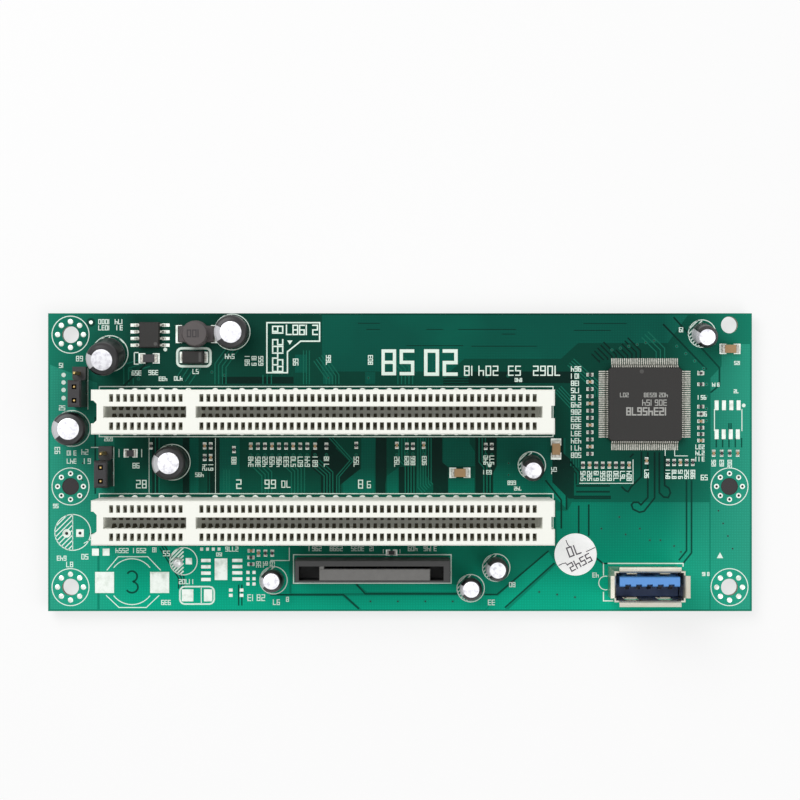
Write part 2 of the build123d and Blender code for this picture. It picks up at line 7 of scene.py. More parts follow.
import bpy
import numpy as np
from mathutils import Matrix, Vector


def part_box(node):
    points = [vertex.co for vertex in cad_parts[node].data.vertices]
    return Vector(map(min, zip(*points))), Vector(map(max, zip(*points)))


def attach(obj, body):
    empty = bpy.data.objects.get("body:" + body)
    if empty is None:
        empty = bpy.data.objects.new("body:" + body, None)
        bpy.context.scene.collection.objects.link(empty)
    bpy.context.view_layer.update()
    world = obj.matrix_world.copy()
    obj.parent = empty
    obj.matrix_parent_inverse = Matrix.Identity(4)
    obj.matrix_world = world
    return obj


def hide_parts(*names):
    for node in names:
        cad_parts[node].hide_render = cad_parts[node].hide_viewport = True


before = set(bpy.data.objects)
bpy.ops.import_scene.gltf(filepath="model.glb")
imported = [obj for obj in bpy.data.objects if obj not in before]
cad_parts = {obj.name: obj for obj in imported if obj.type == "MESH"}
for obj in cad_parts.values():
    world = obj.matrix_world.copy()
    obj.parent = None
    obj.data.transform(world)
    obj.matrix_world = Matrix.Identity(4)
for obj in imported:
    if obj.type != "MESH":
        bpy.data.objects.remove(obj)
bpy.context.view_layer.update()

MM = 0.001
SHARP_ANGLE = 32

# Shapes


def joined(parts):
    """Several parts as one: the points are stacked and each face row is shifted by the points before it."""
    points, faces, shift = [], [], 0
    for part_points, part_faces in parts:
        points.append(part_points)
        faces += [rows + shift for rows in part_faces]
        shift += len(part_points)
    return np.vstack(points), faces


def copies(part, places, turns=0.0):
    """The part at each place after a turn about Z: point' = turn(point) + place."""
    points, faces = part
    places = np.atleast_2d(np.asarray(places, float))
    if places.shape[1] == 2:
        places = np.column_stack([places, np.zeros(len(places))])
    turns = np.broadcast_to(turns, len(places))[:, None]
    x = np.cos(turns) * points[:, 0] - np.sin(turns) * points[:, 1]
    y = np.sin(turns) * points[:, 0] + np.cos(turns) * points[:, 1]
    z = np.broadcast_to(points[:, 2], x.shape)
    moved = np.stack([x, y, z], axis=2) + places[:, None]
    shift = np.arange(len(places))[:, None, None] * len(points)
    return moved.reshape(-1, 3), [(rows[None] + shift).reshape(-1, rows.shape[1]) for rows in faces]


def spaced(first, step, count):
    """Places in a row: place i is first + i step."""
    return np.array(first) + np.arange(count)[:, None] * np.array(step)


def turned_rows(part, steps, centre, sides):
    """A part repeated along Y by the steps, and that row turned about the centre to each of the sides."""
    row = copies(part, np.column_stack([np.zeros(len(steps)), steps]))
    return copies(row, [centre] * sides, np.arange(sides) * 2 * np.pi / sides)


def carried(sections, closed=False):
    """A profile carried along a path: sections (S, K, 3) are joined in order, point j to point j."""
    count, size, _ = sections.shape
    runs = count if closed else count - 1
    here = np.arange(runs)[:, None] * size
    there = (np.arange(runs)[:, None] + 1) % count * size
    j = np.arange(size)[None]
    after = (j + 1) % size
    faces = [np.stack([here + j, here + after, there + after, there + j], axis=2).reshape(-1, 4)]
    if not closed:
        faces += [np.arange(size)[None, ::-1], np.arange(size)[None] + (count - 1) * size]
    return sections.reshape(-1, 3), faces


def mitres(path, closed):
    """At each point of a path, the vector to the left that keeps sides parallel: (n1 + n2) / (1 + n1.n2)."""
    before = path - np.roll(path, 1, axis=0)
    after = np.roll(path, -1, axis=0) - path
    if not closed:
        before[0], after[-1] = after[0], before[-1]
    left = [np.column_stack([-way[:, 1], way[:, 0]]) for way in (before, after)]
    left = [way / np.linalg.norm(way, axis=1, keepdims=True) for way in left]
    return (left[0] + left[1]) / (1 + (left[0] * left[1]).sum(axis=1, keepdims=True))


def ribbon(path, width, low, high, closed=False):
    """A flat band along a path in XY, half its width to each side along the mitre, from low to high."""
    path = np.asarray(path, float)
    side = mitres(path, closed) * width / 2
    flat = np.stack([path + side, path - side, path - side, path + side], axis=1)
    heights = np.broadcast_to([high, high, low, low], flat.shape[:2])
    return carried(np.dstack([flat, heights]), closed)


def prism(outline, levels):
    """An outline, counter-clockwise, carried up levels (height, inset): inset moves each side inwards."""
    outline = np.asarray(outline, float)
    inward = mitres(outline, True)
    levels = np.asarray(levels, float)
    flat = outline[None] + levels[:, 1, None, None] * inward[None]
    heights = np.broadcast_to(levels[:, :1], flat.shape[:2])
    return carried(np.dstack([flat, heights]))


def rectangle(length, width):
    """Corners of a rectangle about the origin, counter-clockwise."""
    return np.array([[-1, -1], [1, -1], [1, 1], [-1, 1]]) * np.array([length, width]) / 2


def rounded_rectangle(length, width, radius, steps=4):
    """A rectangle with quarter circles of the radius at its corners, counter-clockwise."""
    angles = np.linspace(0, np.pi / 2, steps)[None] + np.arange(4)[:, None] * np.pi / 2
    arcs = radius * np.stack([np.cos(angles), np.sin(angles)], axis=2)
    corners = np.array([[1, 1], [-1, 1], [-1, -1], [1, -1]]) * (np.array([length, width]) / 2 - radius)
    return (corners[:, None] + arcs).reshape(-1, 2)


def circle(radius, count=24, start=0.0):
    """Points on a circle, counter-clockwise."""
    angles = start + np.arange(count) * 2 * np.pi / count
    return radius * np.column_stack([np.cos(angles), np.sin(angles)])


def block(length, width, low, high, bevel=0.0):
    """A rectangular block whose top edges are beveled."""
    levels = [(low, 0), (high, 0)] if bevel == 0 else [(low, 0), (high - bevel, 0), (high, bevel)]
    return prism(rectangle(length, width), levels)


def lathe(profile, count=32):
    """A profile of (radius, height), from the bottom pole to the top pole, turned about Z."""
    profile = np.asarray(profile, float)
    rings = profile[1:-1]
    angles = np.arange(count) * 2 * np.pi / count
    flat = rings[:, :1, None] * np.stack([np.cos(angles), np.sin(angles)])[None]
    heights = np.broadcast_to(rings[:, 1:], (len(rings), count))
    points, faces = carried(np.dstack([flat[:, 0], flat[:, 1], heights]))
    bottom, top = len(points), len(points) + 1
    j = np.arange(count)
    after = (j + 1) % count
    last = (len(rings) - 1) * count
    fans = [
        np.column_stack([after, j, np.full(count, bottom)]),
        np.column_stack([last + j, last + after, np.full(count, top)]),
    ]
    poles = [[0, 0, profile[0, 1]], [0, 0, profile[-1, 1]]]
    return np.vstack([points, poles]), [faces[0]] + fans


def bent_strip(path, width, thickness):
    """A strip of sheet bent along a path in XZ, its width along Y and its thickness across the mitre."""
    path = np.asarray(path, float)
    side = mitres(path, False) * thickness / 2
    edges = [path + side, path - side, path - side, path + side]
    across = [-width / 2, -width / 2, width / 2, width / 2]
    section = [
        np.column_stack([edge[:, 0], np.full(len(path), y), edge[:, 1]]) for edge, y in zip(edges, across)
    ]
    return carried(np.stack(section, axis=1))


def carve(xs, ys, zs, filled):
    """The skin of the filled cells of an uneven grid: a quad wherever a filled cell meets an empty one."""
    padded = np.pad(filled, 1).astype(int)
    shape = np.array(filled.shape) + 1
    unit = np.eye(3, dtype=int)
    quads = []
    for axis in range(3):
        first, second = unit[(axis + 1) % 3], unit[(axis + 2) % 3]
        change = np.diff(padded, axis=axis)
        for value, order in ((-1, (0, 1, 2, 3)), (1, (3, 2, 1, 0))):
            cells = np.argwhere(change == value) - first - second
            corners = [cells, cells + first, cells + first + second, cells + second]
            quads.append(np.stack([np.ravel_multi_index(corners[k].T, shape) for k in order], axis=1))
    used, faces = np.unique(np.vstack(quads), return_inverse=True)
    i, j, k = np.unravel_index(used, shape)
    return np.column_stack([xs[i], ys[j], zs[k]]), [faces.reshape(-1, 4)]


def grid_lines(*values):
    """Sorted grid lines without repeats."""
    return np.unique(np.round(np.concatenate([np.ravel(value) for value in values]), 4))


def between(lines, low, high):
    """Which cells of a row of grid lines lie between low and high."""
    middle = (lines[:-1] + lines[1:]) / 2
    return (middle > low) & (middle < high)


# Plain digits in a cell one high: its width, the step to the next one and how far each stroke lies below
# the one before, as a share of the print's thickness
DIGIT_WIDTH = 0.5
DIGIT_STEP = 0.8
STROKE_DROP = 0.04
STROKES = {
    "top": ((0, 1), (0.5, 1)),
    "middle": ((0, 0.5), (0.5, 0.5)),
    "bottom": ((0, 0), (0.5, 0)),
    "upper left": ((0, 1), (0, 0.5)),
    "upper right": ((0.5, 1), (0.5, 0.5)),
    "lower left": ((0, 0.5), (0, 0)),
    "lower right": ((0.5, 0.5), (0.5, 0)),
}
DIGITS = {
    "0": ("top", "bottom", "upper left", "upper right", "lower left", "lower right"),
    "1": ("upper right", "lower right"),
    "2": ("top", "upper right", "middle", "lower left", "bottom"),
    "3": ("top", "upper right", "middle", "lower right", "bottom"),
    "4": ("upper left", "middle", "upper right", "lower right"),
    "5": ("top", "upper left", "middle", "lower right", "bottom"),
    "6": ("top", "upper left", "middle", "lower left", "lower right", "bottom"),
    "7": ("top", "upper right", "lower right"),
    "8": tuple(STROKES),
    "9": ("top", "upper left", "upper right", "middle", "lower right", "bottom"),
}


def number(text, height, width, low, high):
    """A number in straight strokes of the given width, centred on the origin. Strokes that cross end a
    little below one another, so that no two faces coincide."""
    advance = DIGIT_STEP * height
    start = -(advance * (len(text) - 1) + DIGIT_WIDTH * height) / 2
    strokes = []
    for place, digit in enumerate(text):
        for order, name in enumerate(DIGITS[digit]):
            ends = np.array(STROKES[name]) * height + [start + place * advance, -height / 2]
            reach = (ends[1] - ends[0]) / np.linalg.norm(ends[1] - ends[0]) * width / 2
            top = high - STROKE_DROP * order * (high - low)
            strokes.append(ribbon([ends[0] - reach, ends[1] + reach], width, low, top))
    return joined(strokes)


def make_piece(name, coats, replaced=(), smooth=False):
    """A mesh of (part, material) coats that rides on the board and takes the place of CAD nodes."""
    points, faces = joined([part for part, _ in coats])
    corners = np.concatenate([rows.ravel() for rows in faces])
    sizes = np.concatenate([np.full(len(rows), rows.shape[1]) for rows in faces])
    coat_sizes = [sum(len(rows) for rows in part[1]) for part, _ in coats]
    mesh = bpy.data.meshes.new(name)
    mesh.vertices.add(len(points))
    mesh.vertices.foreach_set("co", (points * MM).ravel())
    mesh.loops.add(len(corners))
    mesh.loops.foreach_set("vertex_index", corners)
    mesh.polygons.add(len(sizes))
    mesh.polygons.foreach_set("loop_start", np.cumsum(sizes) - sizes)
    mesh.polygons.foreach_set("material_index", np.repeat(np.arange(len(coats)), coat_sizes))
    mesh.polygons.foreach_set("use_smooth", np.full(len(sizes), smooth))
    for _, material in coats:
        mesh.materials.append(material)
    mesh.update(calc_edges=True)
    if smooth:
        mesh.set_sharp_from_angle(angle=np.radians(SHARP_ANGLE))
    piece = bpy.data.objects.new(name, mesh)
    bpy.context.scene.collection.objects.link(piece)
    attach(piece, "root")
    if replaced:
        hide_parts(*replaced)
    return piece


# Materials


def color(red, green, blue):
    """A colour given as 0 to 255 display values, as the linear values that Blender mixes."""
    display = np.array([red, green, blue]) / 255
    linear = np.where(display <= 0.04045, display / 12.92, ((display + 0.055) / 1.055) ** 2.4)
    return (*linear.tolist(), 1.0)


def add_node(tree, kind, settings=None, **values):
    """A node with its settings, and its inputs given by name as values or as sockets to link."""
    node = tree.nodes.new(kind)
    for key, value in (settings or {}).items():
        setattr(node, key, value)
    for key, value in values.items():
        socket = node.inputs[int(key[1:])] if key[1:].isdigit() else node.inputs[key.replace("_", " ")]
        if isinstance(value, bpy.types.NodeSocket):
            tree.links.new(value, socket)
        else:
            socket.default_value = value
    return node


def math_node(tree, operation, first, second=0.0, clamp=False):
    """The result of one Math node."""
    settings = {"operation": operation, "use_clamp": clamp}
    return add_node(tree, "ShaderNodeMath", settings, i0=first, i1=second).outputs[0]


def share(tree, value, low, high):
    """How far a value has come on its way from low to high, from 0 to 1."""
    return add_node(tree, "ShaderNodeMapRange", Value=value, From_Min=low, From_Max=high).outputs[0]


def shaded(tree, tone, pattern, middle, spread):
    """A colour made lighter and darker by a pattern: brightness = 1 + (pattern - middle) * spread."""
    lift = math_node(tree, "MULTIPLY", math_node(tree, "SUBTRACT", pattern, middle), spread)
    brightness = math_node(tree, "ADD", lift, 1.0)
    return add_node(tree, "ShaderNodeHueSaturation", Value=brightness, Color=tone).outputs[0]


def mix_colors(tree, factor, first, second):
    """Two colours mixed by a factor."""
    node = tree.nodes.new("ShaderNodeMix")
    node.data_type = "RGBA"
    for place, value in ((0, factor), (6, first), (7, second)):
        if isinstance(value, bpy.types.NodeSocket):
            tree.links.new(value, node.inputs[place])
        else:
            node.inputs[place].default_value = value
    return node.outputs[2]


def object_noise(tree, scale, detail=2.0, stretch=(1, 1, 1)):
    """Noise on object coordinates, stretched along the axes."""
    coordinates = add_node(tree, "ShaderNodeTexCoord").outputs["Object"]
    mapping = add_node(tree, "ShaderNodeMapping", Vector=coordinates, Scale=stretch)
    noise = add_node(tree, "ShaderNodeTexNoise", Vector=mapping.outputs[0], Scale=scale, Detail=detail)
    return noise.outputs[0]


def new_group(name, inputs, outputs):
    """A node group with named inputs (label, kind, value) and outputs (label, kind)."""
    group = bpy.data.node_groups.new(name, "ShaderNodeTree")
    for label, kind, value in inputs:
        socket = group.interface.new_socket(label, in_out="INPUT", socket_type=kind)
        socket.default_value = value
    for label, kind in outputs:
        group.interface.new_socket(label, in_out="OUTPUT", socket_type=kind)
    return group, group.nodes.new("NodeGroupInput").outputs, group.nodes.new("NodeGroupOutput").inputs


FLOAT, COLOR = "NodeSocketFloat", "NodeSocketColor"


def build_grain():
    """Moulding grain: fine specks and soft blotches lighten and darken a colour and give a height."""
    inputs = [
        ("Color", COLOR, (0.5, 0.5, 0.5, 1)),
        ("Speck Scale", FLOAT, 6000),
        ("Blotch Scale", FLOAT, 120),
        ("Spread", FLOAT, 0.1),
    ]
    group, given, result = new_group("moulding grain", inputs, [("Color", COLOR), ("Height", FLOAT)])
    specks = object_noise(group, given["Speck Scale"])
    blotches = object_noise(group, given["Blotch Scale"])
    both = math_node(group, "ADD", specks, blotches)
    group.links.new(shaded(group, given["Color"], both, 1.0, given["Spread"]), result["Color"])
    group.links.new(specks, result["Height"])
    return group


# The mask's painted light: its tone runs from the shaded rear to the lit front between the first two places
# in Y, and lightens to each end between the next two in X, in metres
FRONT_RUN = (0.0, -0.026)
END_RUN = (0.05, 0.068)
CLOUD_SCALE = 45.0
CLOUD_DRIFT = 0.4
WEAVE_SCALE = 640.0


def build_mask_tone():
    """Solder mask with painted light: its tone runs from a shaded rear to a lit front and lightens at the two
    ends, over a weave.
    """
    inputs = [(name, COLOR, (0, 0, 0, 1)) for name in ("Rear Color", "Front Color", "End Color")]
    inputs.append(("Weave", FLOAT, 0.05))
    group, given, result = new_group("solder mask tone with painted light", inputs, [("Color", COLOR), ("Height", FLOAT)])
    coordinates = add_node(group, "ShaderNodeTexCoord").outputs["Object"]
    x, y, _ = add_node(group, "ShaderNodeSeparateXYZ", Vector=coordinates).outputs
    cloud = math_node(group, "SUBTRACT", object_noise(group, CLOUD_SCALE), 0.5)
    drift = math_node(group, "MULTIPLY", cloud, CLOUD_DRIFT)
    # Painted light: the shaded rear colour runs to the lit front colour, and the two ends are painted lighter
    forward = math_node(group, "ADD", share(group, y, *FRONT_RUN), drift, clamp=True)
    tone = mix_colors(group, forward, given["Rear Color"], given["Front Color"])
    outward = share(group, math_node(group, "ABSOLUTE", x), *END_RUN)
    tone = mix_colors(group, outward, tone, given["End Color"])
    wave = {"Vector": coordinates, "Scale": WEAVE_SCALE, "Distortion": 1.5}
    waves = [
        add_node(group, "ShaderNodeTexWave", {"bands_direction": direction}, **wave).outputs[1]
        for direction in ("X", "Y")
    ]
    weave = math_node(group, "MULTIPLY", *waves)
    group.links.new(shaded(group, tone, weave, 0.25, given["Weave"]), result["Color"])
    group.links.new(weave, result["Height"])
    return group


def build_bright_metal():
    """Plated metal: patches of tarnish dull its colour and roughness, over fine streaks."""
    inputs = [
        ("Color", COLOR, (0.8, 0.8, 0.8, 1)),
        ("Tarnish Color", COLOR, (0.4, 0.4, 0.4, 1)),
        ("Tarnish", FLOAT, 0.4),
        ("Patch Scale", FLOAT, 900.0),
        ("Roughness", FLOAT, 0.3),
    ]
    outputs = [("Color", COLOR), ("Roughness", FLOAT), ("Height", FLOAT)]
    group, given, result = new_group("plated metal", inputs, outputs)
    patches = object_noise(group, given["Patch Scale"], detail=4.0)
    dull = math_node(group, "MULTIPLY", share(group, patches, 0.4, 0.7), given["Tarnish"])
    group.links.new(mix_colors(group, dull, given["Color"], given["Tarnish Color"]), result["Color"])
    rough = math_node(group, "ADD", given["Roughness"], math_node(group, "MULTIPLY", dull, 0.35))
    group.links.new(rough, result["Roughness"])
    streaks = object_noise(group, 2500.0, stretch=(1, 12, 1))
    group.links.new(streaks, result["Height"])
    return group


grain = build_grain()
mask_light_and_tone = build_mask_tone()
bright_metal = build_bright_metal()


def new_material(name, roughness, metallic=0.0, specular=0.5):
    """A material with its Principled shader and plain values on the shader's own sockets."""
    material = bpy.data.materials.new(name)
    material.use_nodes = True
    tree = material.node_tree
    shader = tree.nodes["Principled BSDF"]
    shader.inputs["Roughness"].default_value = roughness
    shader.inputs["Metallic"].default_value = metallic
    shader.inputs["Specular IOR Level"].default_value = specular
    return material, tree, shader


def use_group(tree, group, **values):
    """A group placed in a material with its own values."""
    node = tree.nodes.new("ShaderNodeGroup")
    node.node_tree = group
    for key, value in values.items():
        node.inputs[key.replace("_", " ")].default_value = value
    return node.outputs


def bump(tree, shader, height, strength, distance):
    """A bump on the shader's normal; distance is in millimetres."""
    node = add_node(tree, "ShaderNodeBump", Height=height, Strength=strength, Distance=distance * MM)
    tree.links.new(node.outputs[0], shader.inputs["Normal"])


def moulded(
    name, tone, roughness, spread=0.1, specks=6000.0, blotches=120.0, specular=0.5, relief=0.02, lift=0.0
):
    """A moulded or printed surface with grain; the lift is painted light, a glow of the surface's own tone
    that brightens pale surfaces a little in deep corners.
    """
    material, tree, shader = new_material(name, roughness, specular=specular)
    # Painted light: by the lift the surface glows in its own tone, though it is no lamp
    shader.inputs["Emission Color"].default_value = tone
    shader.inputs["Emission Strength"].default_value = lift
    grained = use_group(tree, grain, Color=tone, Speck_Scale=specks, Blotch_Scale=blotches, Spread=spread)
    tree.links.new(grained["Color"], shader.inputs["Base Color"])
    bump(tree, shader, grained["Height"], strength=0.3, distance=relief)
    return material


def plated(name, tone, tarnish_tone, roughness, tarnish=0.4, patches=900.0, relief=0.004):
    """A plated or tinned metal."""
    material, tree, shader = new_material(name, roughness, metallic=1.0)
    dulling = {"Tarnish_Color": tarnish_tone, "Tarnish": tarnish, "Patch_Scale": patches}
    metal = use_group(tree, bright_metal, Color=tone, Roughness=roughness, **dulling)
    tree.links.new(metal["Color"], shader.inputs["Base Color"])
    tree.links.new(metal["Roughness"], shader.inputs["Roughness"])
    bump(tree, shader, metal["Height"], strength=0.25, distance=relief)
    return material


def masked(name, rear, front, end, weave=0.1, edge=None):
    """Green solder mask with painted light, shaded at the rear and lit at the front and the ends; with an
    edge colour, faces that stand upright show bare laminate instead.
    """
    material, tree, shader = new_material(name, 0.36, specular=0.07)
    tone = use_group(tree, mask_light_and_tone, Rear_Color=rear, Front_Color=front, End_Color=end, Weave=weave)
    surface = tone["Color"]
    if edge:
        normal = add_node(tree, "ShaderNodeTexCoord").outputs["Normal"]
        normal_z = add_node(tree, "ShaderNodeSeparateXYZ", Vector=normal).outputs[2]
        upright = math_node(tree, "ABSOLUTE", normal_z)
        layers = use_group(tree, grain, Color=edge, Speck_Scale=3000.0, Blotch_Scale=300.0, Spread=0.3)
        flat = math_node(tree, "GREATER_THAN", upright, 0.5)
        surface = mix_colors(tree, flat, layers["Color"], surface)
    tree.links.new(surface, shader.inputs["Base Color"])
    bump(tree, shader, tone["Height"], strength=0.15, distance=0.01)
    return material


# Painted light on every mask: a shaded rear colour, a lit front colour and a lighter colour at the two ends
board_mask = masked(
    "solder mask", color(2, 60, 48), color(4, 138, 110), color(20, 126, 102), edge=color(120, 128, 96)
)
pour_mask = masked(
    "solder mask on copper", color(4, 78, 65), color(4, 168, 134), color(44, 156, 130), weave=0.2
)
trace_mask = masked("solder mask on traces", color(20, 98, 80), color(10, 158, 126), color(48, 160, 134))
gap_mask = masked(
    "solder mask between copper", color(2, 34, 28), color(3, 78, 62), color(6, 86, 70), weave=0.04
)
white_print = moulded("white print", color(226, 242, 232), 0.6, spread=0.12, specks=3000.0, relief=0.008)
# Painted light: the white slot moulding glows faintly by its lift, which lightens the shaded card gap and
# windows
slot_plastic = moulded(
    "white slot moulding", color(238, 239, 231), 0.5, spread=0.04, blotches=60.0, lift=0.04
)
black_plastic = moulded("black connector moulding", color(38, 38, 38), 0.5, spread=0.2)
# Painted sheen: the plug's tongue and key are coloured grey for the sheen on the black moulding's lit tops
plug_tongue_sheen = moulded("plug tongue moulding with painted sheen", color(98, 97, 95), 0.45, spread=0.25, blotches=900.0)
cap_plastic = moulded("jumper cap moulding", color(30, 27, 30), 0.35, spread=0.2)
chip_compound = moulded(
    "chip moulding compound", color(46, 45, 44), 0.6, spread=0.16, specks=9000.0, specular=0.25
)
chip_mark = moulded("chip corner mark", color(62, 61, 59), 0.4, spread=0.1)
chip_print = moulded("chip print", color(168, 168, 164), 0.7, spread=0.15, specks=5000.0, specular=0.2)
resistor_body = moulded("resistor body", color(34, 34, 38), 0.4, spread=0.2)
tan_ceramic = moulded("tan ceramic", color(166, 132, 92), 0.5, spread=0.15, specks=3000.0)
ferrite_coat = moulded("coated ferrite", color(74, 68, 68), 0.5, spread=0.25, specks=4000.0)
ferrite_print = moulded("ferrite print", color(36, 32, 34), 0.6, spread=0.2)
rubber_skin = moulded("black rubber", color(42, 38, 40), 0.75, spread=0.2, specks=4000.0)
can_sleeve = moulded("black can sleeve", color(26, 25, 27), 0.32, spread=0.2)
can_stripe = moulded("grey can stripe", color(190, 190, 194), 0.4, spread=0.15)
can_seal = moulded("can rubber seal", color(30, 28, 28), 0.8, spread=0.2)
# Painted light: the sticker paper glows strongly by its lift, so that it shows whiter than the lamps make it
sticker_paper = moulded(
    "white sticker paper", color(248, 248, 248), 0.7, spread=0.03, specks=2500.0, lift=0.22
)
sticker_ink = moulded("grey sticker ink", color(96, 90, 98), 0.7, spread=0.3, specks=3000.0)
# The tongue's blue is the moulding's own blue, made lighter as a painted sheen on its lit face; the base is
# the same blue moulding darkened as painted shade deep in the socket
blue_plastic = moulded("blue tongue moulding", color(88, 146, 214), 0.3, spread=0.08)
blue_base_in_painted_shade = moulded("blue moulding darkened as painted shade", color(60, 84, 132), 0.4, spread=0.1)
tin_pad = plated("tinned pad", color(222, 228, 222), color(160, 170, 160), 0.34, tarnish=0.7, patches=700.0)
solder = plated("solder", color(214, 216, 216), color(150, 152, 150), 0.25, tarnish=0.6, patches=1500.0)
lead_tin = plated("tinned lead", color(186, 184, 176), color(96, 94, 88), 0.36, tarnish=0.7, patches=2500.0)
# Painted shade: the slot's gold-plated leaves are dull and dark, far darker than the gold pins, for the shade
# deep in the slot
gold_leaf_in_painted_shade = plated(
    "gold-plated leaf darkened as painted shade", color(112, 108, 94), color(66, 64, 56), 0.45, tarnish=0.7, patches=1200.0
)
shaded_leaf = plated(
    "plated leaf in shade", color(66, 66, 72), color(36, 36, 42), 0.4, tarnish=0.7, patches=1200.0
)
gold_pin = plated(
    "gold-plated pin", color(206, 176, 112), color(120, 100, 70), 0.3, tarnish=0.5, patches=1200.0
)
steel = plated(
    "nickel-plated shell", color(198, 196, 184), color(150, 140, 120), 0.26, tarnish=0.5, patches=260.0
)
can_metal = plated(
    "bright can top", color(236, 236, 240), color(176, 174, 182), 0.34, tarnish=0.8, patches=1400.0
)
# Painted shade: dark discs on the board stand in for the shade inside open holes
hole_shade = moulded("painted shade in open holes", color(18, 22, 20), 0.8, spread=0.2)


def coat_node(node, material):
    """A better material on a CAD node that stays visible."""
    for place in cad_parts[node].material_slots:
        place.material = material


# Places and sizes read from the frame


def node_box(node):
    """A CAD node's lowest and highest corners, in millimetres."""
    low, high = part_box(node)
    return np.array(low) / MM, np.array(high) / MM


def node_middle(node):
    """The middle of a CAD node's box."""
    return sum(node_box(node)) / 2


board_low, board_high = node_box("circuit_board")
TOP = board_high[2]
BOTTOM = board_low[2]
SUNK = 0.01


def layer(rise):
    """A thin layer on the board, from a little under its face to the rise above it."""
    return TOP - SUNK, TOP + rise


# Layers on the board and under it, from low to high
POUR = layer(0.012)
DARK = layer(0.016)
LINE = layer(0.022)
PRINT = layer(0.034)
PAD = layer(0.042)
HOLE = layer(0.05)
UNDER_POUR = (BOTTOM - 0.02, BOTTOM + SUNK)
UNDER_LINE = (BOTTOM - 0.03, BOTTOM)
UNDER_PAD = (BOTTOM - 0.04, BOTTOM + SUNK)

# Card slots: the left notch is given as depth, reach to each side and slant of its corners, the right one
# as depth and reach, the tail rows as their distances from the slot's middle, and the bow of a leaf as
# distance from the middle and height from the slot's top. Points nearer than NEAR count as on a wall

NEAR = 0.01
SLOT_PITCH = 1.27
SLOT_COUNT = 62
KEY_POSITIONS = (11, 12)
SLOT_END = 3.7
GAP_END = 1.43
KEY_WALL = 1.7
GAP_HALF = 1.0
GAP_DEPTH = 8.6
WINDOW = 0.76
WINDOW_INNER = 1.88
WINDOW_OUTER = 3.28
WINDOW_DEPTH = 10.4
SLIT_TOP = 1.2
LEFT_NOTCH = (1.07, 2.1, 0.6)
RIGHT_NOTCH = (0.65, 1.15)
LEAD_IN = 0.3
LEAD_IN_SLOPE = 0.1
RIM = 0.25
TAIL_ROWS = (3.81, 1.27)
PEG_RADIUS = 1.18
PEG_FROM_LEFT = 2.65
PEG_FROM_RIGHT = 1.7
LEAF_WIDTH = 0.6
LEAF_SHEET = 0.16
LEAF_BOW = (
    (2.9, -0.75),
    (2.5, -1.6),
    (1.35, -2.8),
    (0.5, -3.9),
    (0.38, -4.5),
    (0.9, -5.7),
    (2.3, -8.0),
    (2.5, -10.3),
)

slot_low, slot_high = node_box("pci_slot_housing_1")
SLOT_LEFT, SLOT_RIGHT, SLOT_TOP = slot_low[0], slot_high[0], slot_high[2]
SLOT_HALF = (slot_high[1] - slot_low[1]) / 2
slot_rows = {number: node_middle(f"pci_slot_housing_{number}")[1] for number in (1, 2)}
positions = np.array([place for place in range(SLOT_COUNT) if place not in KEY_POSITIONS])
contact_xs = SLOT_LEFT + SLOT_END + positions * SLOT_PITCH
key_x = SLOT_LEFT + SLOT_END + sum(KEY_POSITIONS) / 2 * SLOT_PITCH
gap_ends = [contact_xs[0] - GAP_END, key_x - KEY_WALL / 2, key_x + KEY_WALL / 2, contact_xs[-1] + GAP_END]


